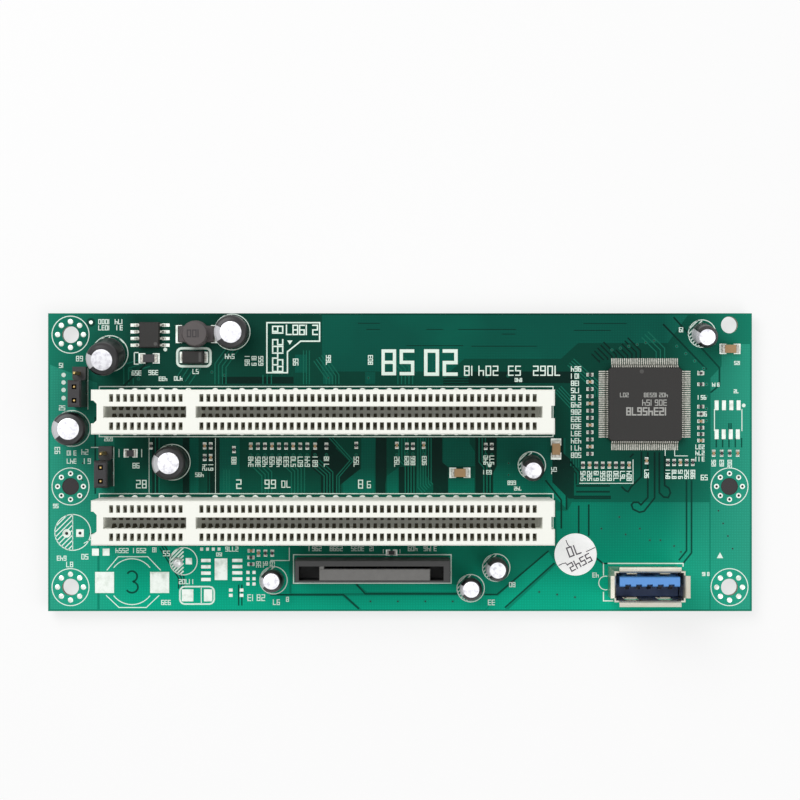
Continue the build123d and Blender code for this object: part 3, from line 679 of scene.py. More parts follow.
def make_slot_housing(number):
    """A slot body carved from a grid of cells: the card gap, a window and a slit for each contact, the end
    notches. Points on the top rim then move away from the gap as its lead-in and inwards as the bevel."""
    middle = slot_rows[number]
    windows = [contact_xs - WINDOW / 2, contact_xs + WINDOW / 2]
    depth, reach, corner = LEFT_NOTCH
    right_depth, right_reach = RIGHT_NOTCH
    ends = [SLOT_LEFT, SLOT_LEFT + depth - corner, SLOT_LEFT + depth, SLOT_RIGHT - right_depth, SLOT_RIGHT]
    xs = grid_lines(windows, gap_ends, ends)
    half_ys = [GAP_HALF, right_reach, reach - corner, reach, WINDOW_INNER, WINDOW_OUTER, SLOT_HALF]
    ys = grid_lines(half_ys, np.negative(half_ys), [0])
    depths = [0, RIM, LEAD_IN, SLIT_TOP, GAP_DEPTH, WINDOW_DEPTH, SLOT_TOP - TOP]
    zs = grid_lines(SLOT_TOP - np.array(depths))
    beside = np.abs(ys[:-1] + ys[1:]) / 2
    below = SLOT_TOP - (zs[:-1] + zs[1:]) / 2
    in_window = sum(between(xs, x - WINDOW / 2, x + WINDOW / 2) for x in contact_xs) > 0
    in_gap = between(xs, gap_ends[0], gap_ends[1]) | between(xs, gap_ends[2], gap_ends[3])
    x, y, z = np.ix_(np.arange(len(xs) - 1), np.arange(len(ys) - 1), np.arange(len(zs) - 1))
    window_rows = (beside > WINDOW_INNER) & (beside < WINDOW_OUTER)
    window_cells = in_window[x] & window_rows[y] & (below < WINDOW_DEPTH)[z]
    slit_rows = (beside > GAP_HALF) & (beside < WINDOW_INNER)
    slit_cells = in_window[x] & slit_rows[y] & ((below > SLIT_TOP) & (below < GAP_DEPTH))[z]
    gap_cells = in_gap[x] & (beside < GAP_HALF)[y] & (below < GAP_DEPTH)[z]
    left_cells = between(xs, SLOT_LEFT, SLOT_LEFT + depth)[x] & (beside < reach)[y]
    right_cells = between(xs, SLOT_RIGHT - right_depth, SLOT_RIGHT)[x] & (beside < right_reach)[y]
    points, faces = carve(xs, ys, zs, ~(window_cells | slit_cells | gap_cells | left_cells | right_cells))
    side, aside = np.sign(points[:, 1]), np.abs(points[:, 1])
    at_top = np.isclose(points[:, 2], SLOT_TOP)
    in_card_gap = (points[:, 0] > gap_ends[0] - NEAR) & (points[:, 0] < gap_ends[3] + NEAR)
    lip = at_top & in_card_gap & np.isclose(aside, GAP_HALF)
    edge = at_top & np.isclose(aside, SLOT_HALF)
    on_notch_wall = np.isclose(points[:, 0], SLOT_LEFT + depth) & (aside < reach + NEAR)
    slant = on_notch_wall * np.clip((aside - reach + corner) / corner, 0, 1) * corner / 2
    points[:, 0] -= slant
    points[:, 1] += side * (lip * LEAD_IN_SLOPE - edge * RIM - slant)
    points[at_top & np.isclose(points[:, 0], SLOT_LEFT), 0] += RIM
    points[at_top & np.isclose(points[:, 0], SLOT_RIGHT), 0] -= RIM
    points[:, 1] += middle
    pegs = copies(
        prism(circle(PEG_RADIUS, 16), [(0, 0.3), (0.35, 0), (TOP, 0)]),
        [(SLOT_LEFT + PEG_FROM_LEFT, middle), (SLOT_RIGHT - PEG_FROM_RIGHT, middle)],
    )
    name = f"pci_slot_housing_{number}"
    make_piece(f"slot_body_{number}", [(joined([(points, faces), pegs]), slot_plastic)], [name])


def make_slot_contacts(number):
    """Bowed leaf springs: each rests at the top of its window, bows into the card gap and runs down."""
    leaf = bent_strip(np.array(LEAF_BOW) + [0, SLOT_TOP], LEAF_WIDTH, LEAF_SHEET)
    places = np.column_stack([contact_xs, np.full(len(contact_xs), slot_rows[number])])
    both = joined([copies(leaf, places, turn) for turn in (np.pi / 2, -np.pi / 2)])
    make_piece(f"slot_leaves_{number}", [(both, gold_leaf_in_painted_shade)], [f"pci_slot_contacts_{number}"])


def tail_places(number):
    """The tails of a slot: in turn in the outer and the inner row, on both sides."""
    rows = np.where(np.arange(len(contact_xs)) % 2 == 0, *TAIL_ROWS)
    middle = slot_rows[number]
    return np.vstack([np.column_stack([contact_xs, middle + side * rows]) for side in (-1, 1)])


def outer_places(number):
    """The tails of a slot's two outer rows, whose pads show beside the slot body."""
    places = tail_places(number)
    return places[np.abs(places[:, 1] - slot_rows[number]) > sum(TAIL_ROWS) / 2]


TAIL = lathe([(0, 0.1), (0.17, 0.1), (0.23, 0.5), (0.36, 0.95), (0.62, BOTTOM), (0, BOTTOM)], 8)
PAD_RING = ribbon(circle(0.5, 16), 0.34, *PAD, closed=True)
UNDER_RING = prism(circle(0.85, 12), [(UNDER_PAD[0], 0), (UNDER_PAD[1], 0)])


def make_tails(name, places, node):
    """Soldered tails under the board, each a cone of solder drawn out to its lead tip on a round pad."""
    coats = [(copies(TAIL, places), solder), (copies(UNDER_RING, places), tin_pad)]
    make_piece(name, coats, [node], smooth=True)


for slot_number in slot_rows:
    make_slot_housing(slot_number)
    make_slot_contacts(slot_number)
    make_tails(f"slot_tails_{slot_number}", tail_places(slot_number), f"pci_slot_joints_{slot_number}")
outer_tails = np.vstack([outer_places(number) for number in slot_rows])

# Bridge chip, and its plain numbers: text, height, stroke, X and Y from its middle

chip_low, chip_high = node_box("bridge_chip")
chip_x, chip_y, _ = node_middle("bridge_chip")
chip_place = (chip_x, chip_y)
CHIP_HALF = (chip_high[0] - chip_low[0]) / 2
CHIP_LEAD_PITCH = 0.4
CHIP_LEAD_WIDTH = 0.2
CHIP_LEAD_SHEET = 0.13
CHIP_LEADS = 32
CHIP_PAD_REACH = 7.95
CHIP_LEAD_BEND = ((7.22, 0.86), (7.34, 0.76), (7.46, 0.2), (7.58, 0.09), (8.0, 0.075))
chip_levels = [
    (chip_low[2], 0.15),
    (chip_low[2] + 0.72, 0),
    (chip_low[2] + 0.82, 0),
    (chip_high[2] - 0.05, 0.15),
    (chip_high[2], 0.22),
]
chip_body = prism(rounded_rectangle(2 * CHIP_HALF, 2 * CHIP_HALF, 0.5, 2), chip_levels)
dimple = lathe([(0, 0), (0.4, 0), (0.4, 0.012), (0.32, 0.006), (0, 0.006)], 24)
dimple = copies(dimple, [(chip_x - 0.7, chip_y + 6.2, chip_high[2] - 0.004)])
CHIP_NUMBERS = (
    ("40216538", 0.72, 0.13, 1.95, 1.75),
    ("207", 0.72, 0.13, -4.0, 1.75),
    ("306154", 1.0, 0.16, 1.7, 0.3),
    ("12345678", 1.3, 0.26, 0.45, -1.35),
)
chip_lines = [
    copies(number(text, height, width, -0.004, 0.012), [(chip_x + x, chip_y + y, chip_high[2])], np.pi)
    for text, height, width, x, y in CHIP_NUMBERS
]
chip_coats = [
    (copies(chip_body, chip_place), chip_compound),
    (dimple, chip_mark),
    (joined(chip_lines), chip_print),
]
make_piece("bridge_chip_body", chip_coats, ["bridge_chip"])

lead_path = np.vstack([(CHIP_HALF - 0.1, 0.86), CHIP_LEAD_BEND]) + [0, TOP]
chip_lead = bent_strip(lead_path, CHIP_LEAD_WIDTH, CHIP_LEAD_SHEET)
lead_steps = (np.arange(CHIP_LEADS) - (CHIP_LEADS - 1) / 2) * CHIP_LEAD_PITCH
lead_rows = turned_rows(chip_lead, lead_steps, chip_place, 4)
make_piece("bridge_chip_lead_rows", [(lead_rows, lead_tin)], ["bridge_chip_leads"])
chip_pad = copies(block(1.5, 0.24, *PAD), (CHIP_PAD_REACH, 0))
bridge_pads = turned_rows(chip_pad, lead_steps, chip_place, 4)

# Regulator chip

REGULATOR_PITCH = 1.27
REGULATOR_LEAD_WIDTH = 0.42
REGULATOR_LEAD_SHEET = 0.2
REGULATOR_PAD_REACH = 2.95
REGULATOR_LEAD = ((1.85, 0.72), (2.2, 0.72), (2.36, 0.62), (2.44, 0.25), (2.58, 0.12), (3.0, 0.1))
regulator_low, regulator_high = node_box("regulator_chip")
regulator_x, regulator_y, _ = node_middle("regulator_chip")
regulator_place = (regulator_x, regulator_y)
regulator_length, regulator_width, _ = regulator_high - regulator_low
regulator_levels = [
    (regulator_low[2], 0.1),
    (regulator_low[2] + 0.7, 0),
    (regulator_low[2] + 0.85, 0),
    (regulator_high[2], 0.2),
]
regulator_body = prism(rectangle(regulator_length, regulator_width), regulator_levels)
regulator_notch = lathe([(0, 0), (0.35, 0), (0.35, 0.01), (0, 0.01)], 20)
regulator_coats = [
    (copies(regulator_body, regulator_place), chip_compound),
    (copies(regulator_notch, [(regulator_x + 1.2, regulator_y - 1.7, regulator_high[2] - 0.004)]), chip_mark),
]
make_piece("regulator_body", regulator_coats, ["regulator_chip"])
regulator_steps = (np.arange(4) - 1.5) * REGULATOR_PITCH
lead_path = np.array(REGULATOR_LEAD) + [0, TOP]
regulator_lead = bent_strip(lead_path, REGULATOR_LEAD_WIDTH, REGULATOR_LEAD_SHEET)
regulator_rows = turned_rows(regulator_lead, regulator_steps, regulator_place, 2)
make_piece("regulator_lead_rows", [(regulator_rows, lead_tin)], ["regulator_leads"])
regulator_pad = copies(block(1.5, 0.6, *PAD), (REGULATOR_PAD_REACH, 0))
regulator_pads = turned_rows(regulator_pad, regulator_steps, regulator_place, 2)

# Power inductor: a waisted drum on a winged base, its number, and a clip round each end

INDUCTOR_PAD_REACH = 3.35
CLIP_BEND = ((2.2, 0.06), (3.32, 0.06), (3.41, 0.14), (3.41, 1.0), (3.34, 1.08))
_, inductor_high = node_box("power_inductor")
inductor_x, inductor_y, _ = node_middle("power_inductor")
inductor_place = (inductor_x, inductor_y)
inductor_height = inductor_high[2] - TOP
wing = prism(rounded_rectangle(6.7, 3.1, 0.3, 3), [(TOP + 0.12, 0), (TOP + 1.0, 0), (TOP + 1.12, 0.12)])
drum_foot = [(0, 0.12), (2.5, 0.12), (2.55, 0.9), (2.4, 1.1), (2.0, 1.2)]
drum_head = [(2.0, 3.2), (2.32, 3.3), (2.4, 3.45), (2.4, inductor_height - 0.2), (2.2, inductor_height)]
drum = lathe([*drum_foot, *drum_head, (0, inductor_height)], 40)
inductor_number = number("100", 1.25, 0.22, 0, 0.012)
inductor_print = copies(inductor_number, (*inductor_place, inductor_high[2] - 0.006), np.pi)
inductor_coats = [
    (copies(joined([wing, copies(drum, (0, 0, TOP))]), inductor_place), ferrite_coat),
    (inductor_print, ferrite_print),
]
make_piece("inductor_drum", inductor_coats, ["power_inductor"], smooth=True)
inductor_clip = bent_strip(np.array(CLIP_BEND) + [0, TOP], 3.1, 0.1)
inductor_clips = turned_rows(inductor_clip, [0], inductor_place, 2)
make_piece("inductor_clips", [(inductor_clips, lead_tin)], ["inductor_terminals"])
inductor_pads = copies(
    block(1.2, 3.4, *PAD), [(inductor_x + side * INDUCTOR_PAD_REACH, inductor_y) for side in (-1, 1)]
)

# Power diode

DIODE_CLIP = ((1.2, 0.1), (2.45, 0.1))
DIODE_PAD_REACH = 2.35
diode_low, diode_high = node_box("power_diode")
diode_x, diode_y, _ = node_middle("power_diode")
diode_place = (diode_x, diode_y)
diode_length, diode_width, _ = diode_high - diode_low
diode_levels = [
    (diode_low[2], 0.12),
    (diode_low[2] + 0.9, 0),
    (diode_low[2] + 1.0, 0),
    (diode_high[2] - 0.05, 0.18),
    (diode_high[2], 0.24),
]
diode_body = prism(rectangle(diode_length, diode_width), diode_levels)
diode_band = block(0.5, 1.8, diode_high[2] - 0.01, diode_high[2] + 0.006)
diode_coats = [
    (copies(diode_body, diode_place), chip_compound),
    (copies(diode_band, [(diode_x + 1.35, diode_y)]), chip_mark),
]
make_piece("diode_body", diode_coats, ["power_diode"])
diode_clip = bent_strip(np.array(DIODE_CLIP) + [0, TOP], 1.4, 0.18)
diode_clips = turned_rows(diode_clip, [0], diode_place, 2)
make_piece("diode_clips", [(diode_clips, lead_tin)], ["diode_terminals"])
diode_pads = copies(
    block(0.7, 2.1, *PAD), [(diode_x + side * DIODE_PAD_REACH, diode_y) for side in (-1, 1)]
)

# Electrolytic cans: node, X, Y, diameter, height, lean and its direction in degrees

CANS = (
    ("capacitor_1", -55.0, 20.6, 6.3, 7.0, 12.0, 247.0),
    ("capacitor_2", -31.85, 24.7, 6.3, 7.0, 3.0, 320.0),
    ("capacitor_3", -62.2, 6.4, 6.3, 7.0, 3.0, 0.0),
    ("capacitor_4", -43.2, 0.0, 6.3, 7.0, 0.0, 0.0),
    ("capacitor_5", 25.0, -0.6, 4.2, 6.8, 6.5, 260.0),
    ("capacitor_6", 57.3, 24.4, 4.2, 6.8, 7.5, 270.0),
    ("capacitor_7", -24.0, -22.4, 4.2, 6.8, 3.0, 90.0),
    ("capacitor_8", 13.4, -23.9, 4.2, 6.8, 3.0, 110.0),
    ("capacitor_9", 18.25, -20.0, 4.2, 6.8, 0.0, 0.0),
)
# By diameter: spacing of the leads, share of the radius that the bright top has, radius of the printed ring
CAN_LEADS = {6.3: 2.5, 4.2: 1.5}
CAN_LIPS = {6.3: 0.63, 4.2: 0.7}
CAN_RINGS = {6.3: 3.4, 4.2: 2.6}
CAN_SIDES = 48
STRIPE_HALF_SPAN = 30


def leaned(part, x, y, diameter, lean, direction):
    """The part on a plane that leans: point' = base + px forward + py side + pz up, raised by the rim."""
    points, faces = part
    lean, direction = np.radians([lean, direction])
    out = np.array([np.cos(direction), np.sin(direction), 0])
    side = np.array([-np.sin(direction), np.cos(direction), 0])
    up = out * np.sin(lean) + np.array([0, 0, np.cos(lean)])
    forward = out * np.cos(lean) - np.array([0, 0, np.sin(lean)])
    base = np.array([x, y, TOP + diameter / 2 * np.sin(lean)])
    return base + points @ np.stack([forward, side, up]), faces


def make_can(node, x, y, diameter, height, lean, direction):
    """A can turned from a profile: rubber seal, sleeve with a crimp near its foot and a rim folded over the
    bright top. The stripe is the part of the sleeve that faces the left edge of the board."""
    radius = diameter / 2
    lip = CAN_LIPS[diameter] * radius
    foot = [(0, 0.25), (radius - 0.35, 0.25), (radius - 0.12, 0.3), (radius, 0.55), (radius, 1.25)]
    crimp = [(radius - 0.22, 1.5), (radius - 0.22, 1.6), (radius, 1.85)]
    shoulder = [(radius, height - 0.8), (radius - 0.1, height - 0.45), (radius - 0.4, height - 0.15)]
    rim = [(lip + 0.2, height - 0.02), (lip + 0.05, height), (lip, height - 0.06), (0, height - 0.08)]
    sleeve = lathe(foot + crimp + shoulder + rim, CAN_SIDES)
    lid_edge = [(lip + 0.03, height - 0.2), (lip + 0.02, height - 0.04), (lip - 0.15, height - 0.01)]
    lid = lathe([(0, height - 0.2), *lid_edge, (0, height - 0.01)], CAN_SIDES)
    seal = lathe([(0, 0), (radius - 0.45, 0), (radius - 0.4, 0.3), (0, 0.3)], 32)
    place = (x, y, diameter, lean, direction)
    coats = [
        (leaned(sleeve, *place), can_sleeve),
        (leaned(lid, *place), can_metal),
        (leaned(seal, *place), can_seal),
    ]
    mesh = make_piece(f"{node}_can", coats, [node], smooth=True).data
    angles = np.arange(CAN_SIDES) * 2 * np.pi / CAN_SIDES + np.radians(direction)
    on_stripe = np.abs(angles % (2 * np.pi) - np.pi) < np.radians(STRIPE_HALF_SPAN)
    bands = len(sleeve[1][0]) // CAN_SIDES
    tones = np.empty(len(mesh.polygons), np.int32)
    mesh.polygons.foreach_get("material_index", tones)
    tones[: bands * CAN_SIDES][np.tile(on_stripe, bands)] = len(coats)
    mesh.polygons.foreach_set("material_index", tones)
    mesh.materials.append(can_stripe)


for can in CANS:
    make_can(*can)

# Upright USB socket: its sizes inside and outside along X and Y, and the flare of its lips as the way out
# from the wall's inner face and the height from the rim

_, shell_high = node_box("usb_shell")
usb_x, usb_y, _ = node_middle("usb_insulator")
insulator_low, insulator_high = node_box("usb_insulator")
USB_TOP = shell_high[2]
USB_SHEET = 0.3
USB_INSIDE = (12.5, 5.12)
USB_OUTSIDE = (13.1, 5.72)
USB_NOTCH_HALF = 0.55
USB_NOTCH_DEPTH = 0.45
USB_NOTCH_STEPS = np.arange(-4, 5, 2)
USB_FAR_STEPS = (-3.5, -1.0, 1.0, 3.5)
USB_BEVEL = 0.2
NEAR_SPRING = ((0.2, -0.7), (0.2, -1.1), (0.35, -1.6), (0.75, -2.1), (0.9, -2.6), (0.3, -3.2))
FINGER_XS = (-3.1, 3.1)
FINGER_HALF = 0.95
FINGER_GAP = 0.35
FINGER_TOP = 2.6
FINGER_LENGTH = 5.0
FINGER_BOW = ((0.15, -0.05), (0.12, 1.5), (-0.2, 3.1), (-0.4, 3.8), (-0.3, 4.4))
LIP_PATH = ((0.15, -1.4), (0.15, -0.85), (0.22, -0.55), (0.42, -0.32), (0.75, -0.18), (1.1, -0.15))


def make_usb_shell():
    """The shell: walls carved from a grid with two finger slots on each long side, bent fingers in them, a
    flared lip on each side and two legs through the board."""
    half_in = np.array(USB_INSIDE) / 2
    half_out = np.array(USB_OUTSIDE) / 2
    reach = FINGER_HALF + FINGER_GAP
    slot_top = USB_TOP - FINGER_TOP
    slot_foot = slot_top - FINGER_LENGTH
    xs = grid_lines(half_in[0], half_out[0], -half_in[0], -half_out[0])
    xs = grid_lines(xs, [(x - reach, x + reach) for x in FINGER_XS])
    ys = grid_lines(half_in[1], half_out[1], -half_in[1], -half_out[1])
    zs = grid_lines(TOP, slot_foot, slot_top, USB_TOP - 0.9)
    across, along = between(xs, -half_in[0], half_in[0]), between(ys, -half_in[1], half_in[1])
    inside = across[:, None, None] & along[None, :, None]
    slots = sum(between(xs, x - reach, x + reach) for x in FINGER_XS) > 0
    cut = slots[:, None, None] & between(zs, slot_foot, slot_top)[None, None]
    filled = np.broadcast_to(~inside, (len(xs) - 1, len(ys) - 1, len(zs) - 1)) & ~cut
    walls = carve(xs, ys, zs, filled)
    finger_path = np.array(FINGER_BOW) + [half_in[1], slot_foot]
    finger = bent_strip(finger_path, 2 * FINGER_HALF, 0.24)
    fingers = [copies(finger, [(side * x, 0) for x in FINGER_XS], side * np.pi / 2) for side in (-1, 1)]
    lips = []
    for turn, axis, width in ((0, 0, 4.1), (1, 1, 11.4), (2, 0, 4.1), (3, 1, 11.4)):
        path = np.array(LIP_PATH) + [half_in[axis], USB_TOP]
        lips.append(copies(bent_strip(path, width, 0.28), (0, 0), turn * np.pi / 2))
    leg = prism(rectangle(USB_SHEET, 1.8), [(0.1, 0), (0.5, 0), (TOP + 0.2, 0)])
    legs = copies(leg, [(side * (half_in[0] + USB_SHEET / 2), 0) for side in (-1, 1)])
    shell = copies(joined([walls, *fingers, *lips, legs]), [(usb_x, usb_y)])
    make_piece("usb_shell_walls", [(shell, steel)], ["usb_shell"])


def make_usb_tongue():
    """The blue base and the tongue on it, whose tip is beveled and whose near face has five open notches."""
    base_top, tip = insulator_low[2] + 4.2, insulator_high[2]
    base = copies(block(12.4, 5.02, insulator_low[2], base_top, 0.1), (usb_x, usb_y))
    rear = usb_y + USB_INSIDE[1] / 2 - 0.75
    front = rear - 1.84
    behind = front + USB_NOTCH_DEPTH
    edges = [(step - USB_NOTCH_HALF, step + USB_NOTCH_HALF) for step in USB_NOTCH_STEPS]
    xs = grid_lines(-5.55, 5.55, edges)
    ys = grid_lines(front, behind, rear)
    zs = grid_lines(base_top, tip - 2.4, tip - 0.25, tip)
    notched = sum(between(xs, *edge) for edge in edges) > 0
    cut = notched[:, None, None] & between(ys, front, behind)[None, :, None]
    cut = cut & between(zs, tip - 2.4, tip)[None, None]
    points, faces = carve(xs, ys, zs, ~cut)
    at_top = np.isclose(points[:, 2], tip)
    points[at_top & np.isclose(points[:, 1], rear), 1] -= USB_BEVEL
    points[at_top & np.isclose(points[:, 1], front), 1] += USB_BEVEL
    points[:, 0] += usb_x
    tongue_coats = [((points, faces), blue_plastic), (base, blue_base_in_painted_shade)]
    make_piece("usb_tongue", tongue_coats, ["usb_insulator"])
    near = bent_strip(np.array(NEAR_SPRING) + [0, tip], 0.7, 0.15)
    near = copies(near, [(usb_x + step, front + 0.3) for step in USB_NOTCH_STEPS], -np.pi / 2)
    far = block(1.0, 0.15, base_top + 0.4, tip - 2.6, 0.05)
    far = copies(far, [(usb_x + step, front - 0.075) for step in USB_FAR_STEPS])
    make_piece("usb_springs", [(joined([near, far]), shaded_leaf)], ["usb_contacts"])


make_usb_shell()
make_usb_tongue()

# Fifteen-position power plug

plug_low, plug_high = node_box("power_plug_housing")
blade_low, blade_high = node_box("power_plug_contacts")
PLUG_FLOOR = TOP + 2.2
PLUG_WALLS = {"left": 0.75, "right": 1.25, "front": 0.35, "rear": 1.1}
PLUG_BEVEL = 0.12
PLUG_FRONT_BEVEL = 0.06
PLUG_POSITIONS = 15
TONGUE_FROM_LEFT = 3.8
TONGUE_LENGTH = 20.6
TONGUE_DEPTH = 2.15
BLADE_WIDTH = 0.75


def make_plug():
    """The shroud and its tongue carved from a grid; its rims are drawn in at the top as a bevel."""
    left, front, _ = plug_low
    right, rear, top = plug_high
    inner_left, inner_right = left + PLUG_WALLS["left"], right - PLUG_WALLS["right"]
    inner_front, inner_rear = front + PLUG_WALLS["front"], rear - PLUG_WALLS["rear"]
    tongue_left = inner_left + TONGUE_FROM_LEFT
    tongue_right = tongue_left + TONGUE_LENGTH
    tongue_rear = inner_front + TONGUE_DEPTH
    xs = grid_lines(left, inner_left, inner_right, right)
    ys = grid_lines(front, inner_front, inner_rear, rear)
    zs = grid_lines(TOP, TOP + 0.6, PLUG_FLOOR, top - 0.7, top - 0.15, top)
    across, along = between(xs, inner_left, inner_right), between(ys, inner_front, inner_rear)
    hollow = across[:, None, None] & along[None, :, None] & between(zs, PLUG_FLOOR, top)[None, None]
    points, faces = carve(xs, ys, zs, ~hollow)
    at_top = np.isclose(points[:, 2], top)
    points[at_top & np.isclose(points[:, 0], left), 0] += PLUG_BEVEL
    points[at_top & np.isclose(points[:, 0], right), 0] -= PLUG_BEVEL
    points[at_top & np.isclose(points[:, 1], rear), 1] -= PLUG_BEVEL
    points[at_top & np.isclose(points[:, 1], front), 1] += PLUG_FRONT_BEVEL
    tongue = block(tongue_right - tongue_left, TONGUE_DEPTH + 0.05, PLUG_FLOOR - 0.1, top - 0.02, PLUG_BEVEL)
    tongue = copies(tongue, ((tongue_left + tongue_right) / 2, (inner_front + tongue_rear - 0.05) / 2))
    key = block(0.9, 0.7, PLUG_FLOOR - 0.1, top - 0.1, 0.1)
    key = copies(key, (tongue_left + 0.45, tongue_rear + 0.25))
    coats = [((points, faces), black_plastic), (joined([tongue, key]), plug_tongue_sheen)]
    make_piece("plug_shroud", coats, ["power_plug_housing"])
    blade_levels = [(PLUG_FLOOR, 0), (blade_high[2] - 0.15, 0), (blade_high[2], 0.04)]
    blade = prism(rectangle(BLADE_WIDTH, 0.12), blade_levels)
    blade_xs = np.linspace(blade_low[0] + BLADE_WIDTH / 2, blade_high[0] - BLADE_WIDTH / 2, PLUG_POSITIONS)
    blades = copies(blade, [(x, tongue_rear + 0.04) for x in blade_xs])
    make_piece("plug_blades", [(blades, shaded_leaf)], ["power_plug_contacts"])
    return blade_xs


plug_xs = make_plug()
_, plug_y, _ = node_middle("power_plug_housing")

# Pin headers

HEADER_PITCH = 2.54
HEADER_STEPS = np.array([1, 0, -1]) * HEADER_PITCH
PIN_WIDTH = 0.64
header_middles = {number: node_middle(f"pin_header_{number}_base")[:2] for number in (1, 2)}
for header_number, header_middle in header_middles.items():
    pin_node = f"pin_header_{header_number}_pins"
    _, pin_high = node_box(pin_node)
    pin_levels = [(0.3, 0.15), (0.7, 0), (pin_high[2] - 0.5, 0), (pin_high[2], 0.17)]
    pin = prism(rectangle(PIN_WIDTH, PIN_WIDTH), pin_levels)
    pins = copies(pin, [(header_middle[0], header_middle[1] + step) for step in HEADER_STEPS])
    make_piece(f"header_pins_{header_number}", [(pins, gold_pin)], [pin_node])
    coat_node(f"pin_header_{header_number}_base", black_plastic)
    coat_node(f"jumper_cap_{header_number}", cap_plastic)

# Small parts: each a body with two tinned ends, turned in quarters

TINY_LENGTH = 1.0
TINY_WIDTH = 0.5
TINY_HEIGHT = 0.34
TINY_END = 0.24
END_SHARE = 0.17


def chip_part(length, width, height, end):
    """The body of a chip part and its two tinned ends, which stand a little proud of it."""
    body = block(length - 2 * end + 0.02, width - 0.06, TOP, TOP + height - 0.03, 0.04)
    middle = (length - end) / 2
    cap = copies(block(end, width, TOP, TOP + height, 0.05), [(middle, 0), (-middle, 0)])
    return body, cap


def chip_pads(length, width, spare):
    """The two pads under a chip part, each with a spare rim that carries solder."""
    pad = block(0.3 * length + spare, width + spare, *PAD)
    return copies(pad, [(0.42 * length, 0), (-0.42 * length, 0)])


# Rows of tiny parts: first place, step to the next, how many, and quarter turns
TINY_ROWS = (
    ((36.03, 16.6), (0, -1.364), 12, 0),
    ((34.71, -0.56), (1.25, 0), 8, 1),
    ((50.81, -0.05), (1.185, 0), 5, 1),
    ((59.5, 1.7), (1.52, 0), 4, 1),
    ((57.05, 10.55), (0, -1.39), 2, 0),
    ((57.05, 7.77), (0, -1.22), 4, 0),
    ((57.05, 14.78), (0, 2.1), 2, 0),
    ((-28.3, 3.05), (1.34, 0), 9, 1),
    ((-16.1, 3.05), (2.15, 0), 2, 1),
    ((-8.3, 3.2), (7.7, 0), 2, 1),
    ((1.3, 3.05), (1.15, 0), 2, 1),
    ((4.5, 3.2), (4.5, 0), 1, 1),
    ((16.26, 3.0), (1.15, 0), 2, 1),
    ((-37.05, 3.1), (1.15, 0), 2, 1),
    ((-37.05, 0.9), (1.15, 0), 2, 1),
    ((-31.5, 2.4), (0, -1.9), 1, 1),
    ((-47.26, 3.1), (0, -1.9), 1, 1),
    ((-26.83, -17.26), (1.3, 0), 3, 1),
    ((-28.26, -16.8), (0, -1.27), 3, 0),
    ((46.77, 0.28), (0, -1.9), 1, 1),
)


def row_places(rows):
    """Places and turns of all the parts in a table of rows."""
    places = [spaced(first, step, count) for first, step, count, _ in rows]
    turns = [np.full(count, quarters * np.pi / 2) for _, _, count, quarters in rows]
    return np.vstack(places), np.concatenate(turns)


tiny_places, tiny_turns = row_places(TINY_ROWS)
tiny_body, tiny_ends = chip_part(TINY_LENGTH, TINY_WIDTH, TINY_HEIGHT, TINY_END)
is_capacitor = np.arange(len(tiny_places)) % 3 == 1
tiny_coats = [
    (copies(tiny_body, tiny_places[~is_capacitor], tiny_turns[~is_capacitor]), resistor_body),
    (copies(tiny_body, tiny_places[is_capacitor], tiny_turns[is_capacitor]), tan_ceramic),
    (copies(tiny_ends, tiny_places, tiny_turns), lead_tin),
]
make_piece("tiny_chip_parts", tiny_coats)
tiny_pads = copies(chip_pads(TINY_LENGTH, TINY_WIDTH, 0.16), tiny_places, tiny_turns)

# The larger chip capacitors and the chip resistor: X, Y, size along X and along Y, height, and if it is dark
CHIPS = (
    (-51.1, 1.7, 2.0, 1.25, 0.8, True),
    (11.35, -2.0, 3.2, 1.6, 0.9, False),
    (29.6, 2.5, 1.6, 3.2, 0.9, False),
    (62.6, 21.5, 3.2, 1.6, 0.9, False),
    (-1.6, -17.15, 1.6, 0.8, 0.5, True),
    (-47.6, 19.7, 3.2, 1.6, 0.6, True),
)
chip_bodies = {True: [], False: []}
chip_ends, chip_pad_list = [], []
for x, y, along, across, height, dark in CHIPS:
    length, width = max(along, across), min(along, across)
    turn = 0.0 if along > across else np.pi / 2
    body, ends = chip_part(length, width, height, END_SHARE * length)
    chip_bodies[dark].append(copies(body, (x, y), turn))
    chip_ends.append(copies(ends, (x, y), turn))
    chip_pad_list.append(copies(chip_pads(length, width, 0.35), (x, y), turn))
chip_coats = [
    (joined(chip_bodies[True]), resistor_body),
    (joined(chip_bodies[False]), tan_ceramic),
    (joined(chip_ends), lead_tin),
]
make_piece("chip_capacitors", chip_coats, ["ceramic_capacitors"])

# Copper under the mask

EDGE_CLEAR = 0.35
REAR, FRONT = board_high[1] - EDGE_CLEAR, board_low[1] + EDGE_CLEAR
LEFT, RIGHT = board_low[0] + EDGE_CLEAR, board_high[0] - EDGE_CLEAR
HOLE_X = 62.5
HOLE_REAR_Y = 24.2
HOLE_MIDDLE_Y = -4.6
HOLE_FRONT_Y = -23.7
HOLE_CLEAR = 1.63
SLIT_TURN = 0.02
SLIT_HALF = 0.03


def around_hole(y, edge_x):
    """The way from the edge of a pour into a mounting hole, clockwise round it and back by the same slit."""
    side = np.sign(edge_x)
    turns = (0.0 if side > 0 else np.pi) - np.linspace(SLIT_TURN, 2 * np.pi - SLIT_TURN, 29)
    ring = [(side * HOLE_X + HOLE_CLEAR * np.cos(turn), y + HOLE_CLEAR * np.sin(turn)) for turn in turns]
    return ((edge_x, y - SLIT_HALF * side), *ring, (edge_x, y + SLIT_HALF * side))


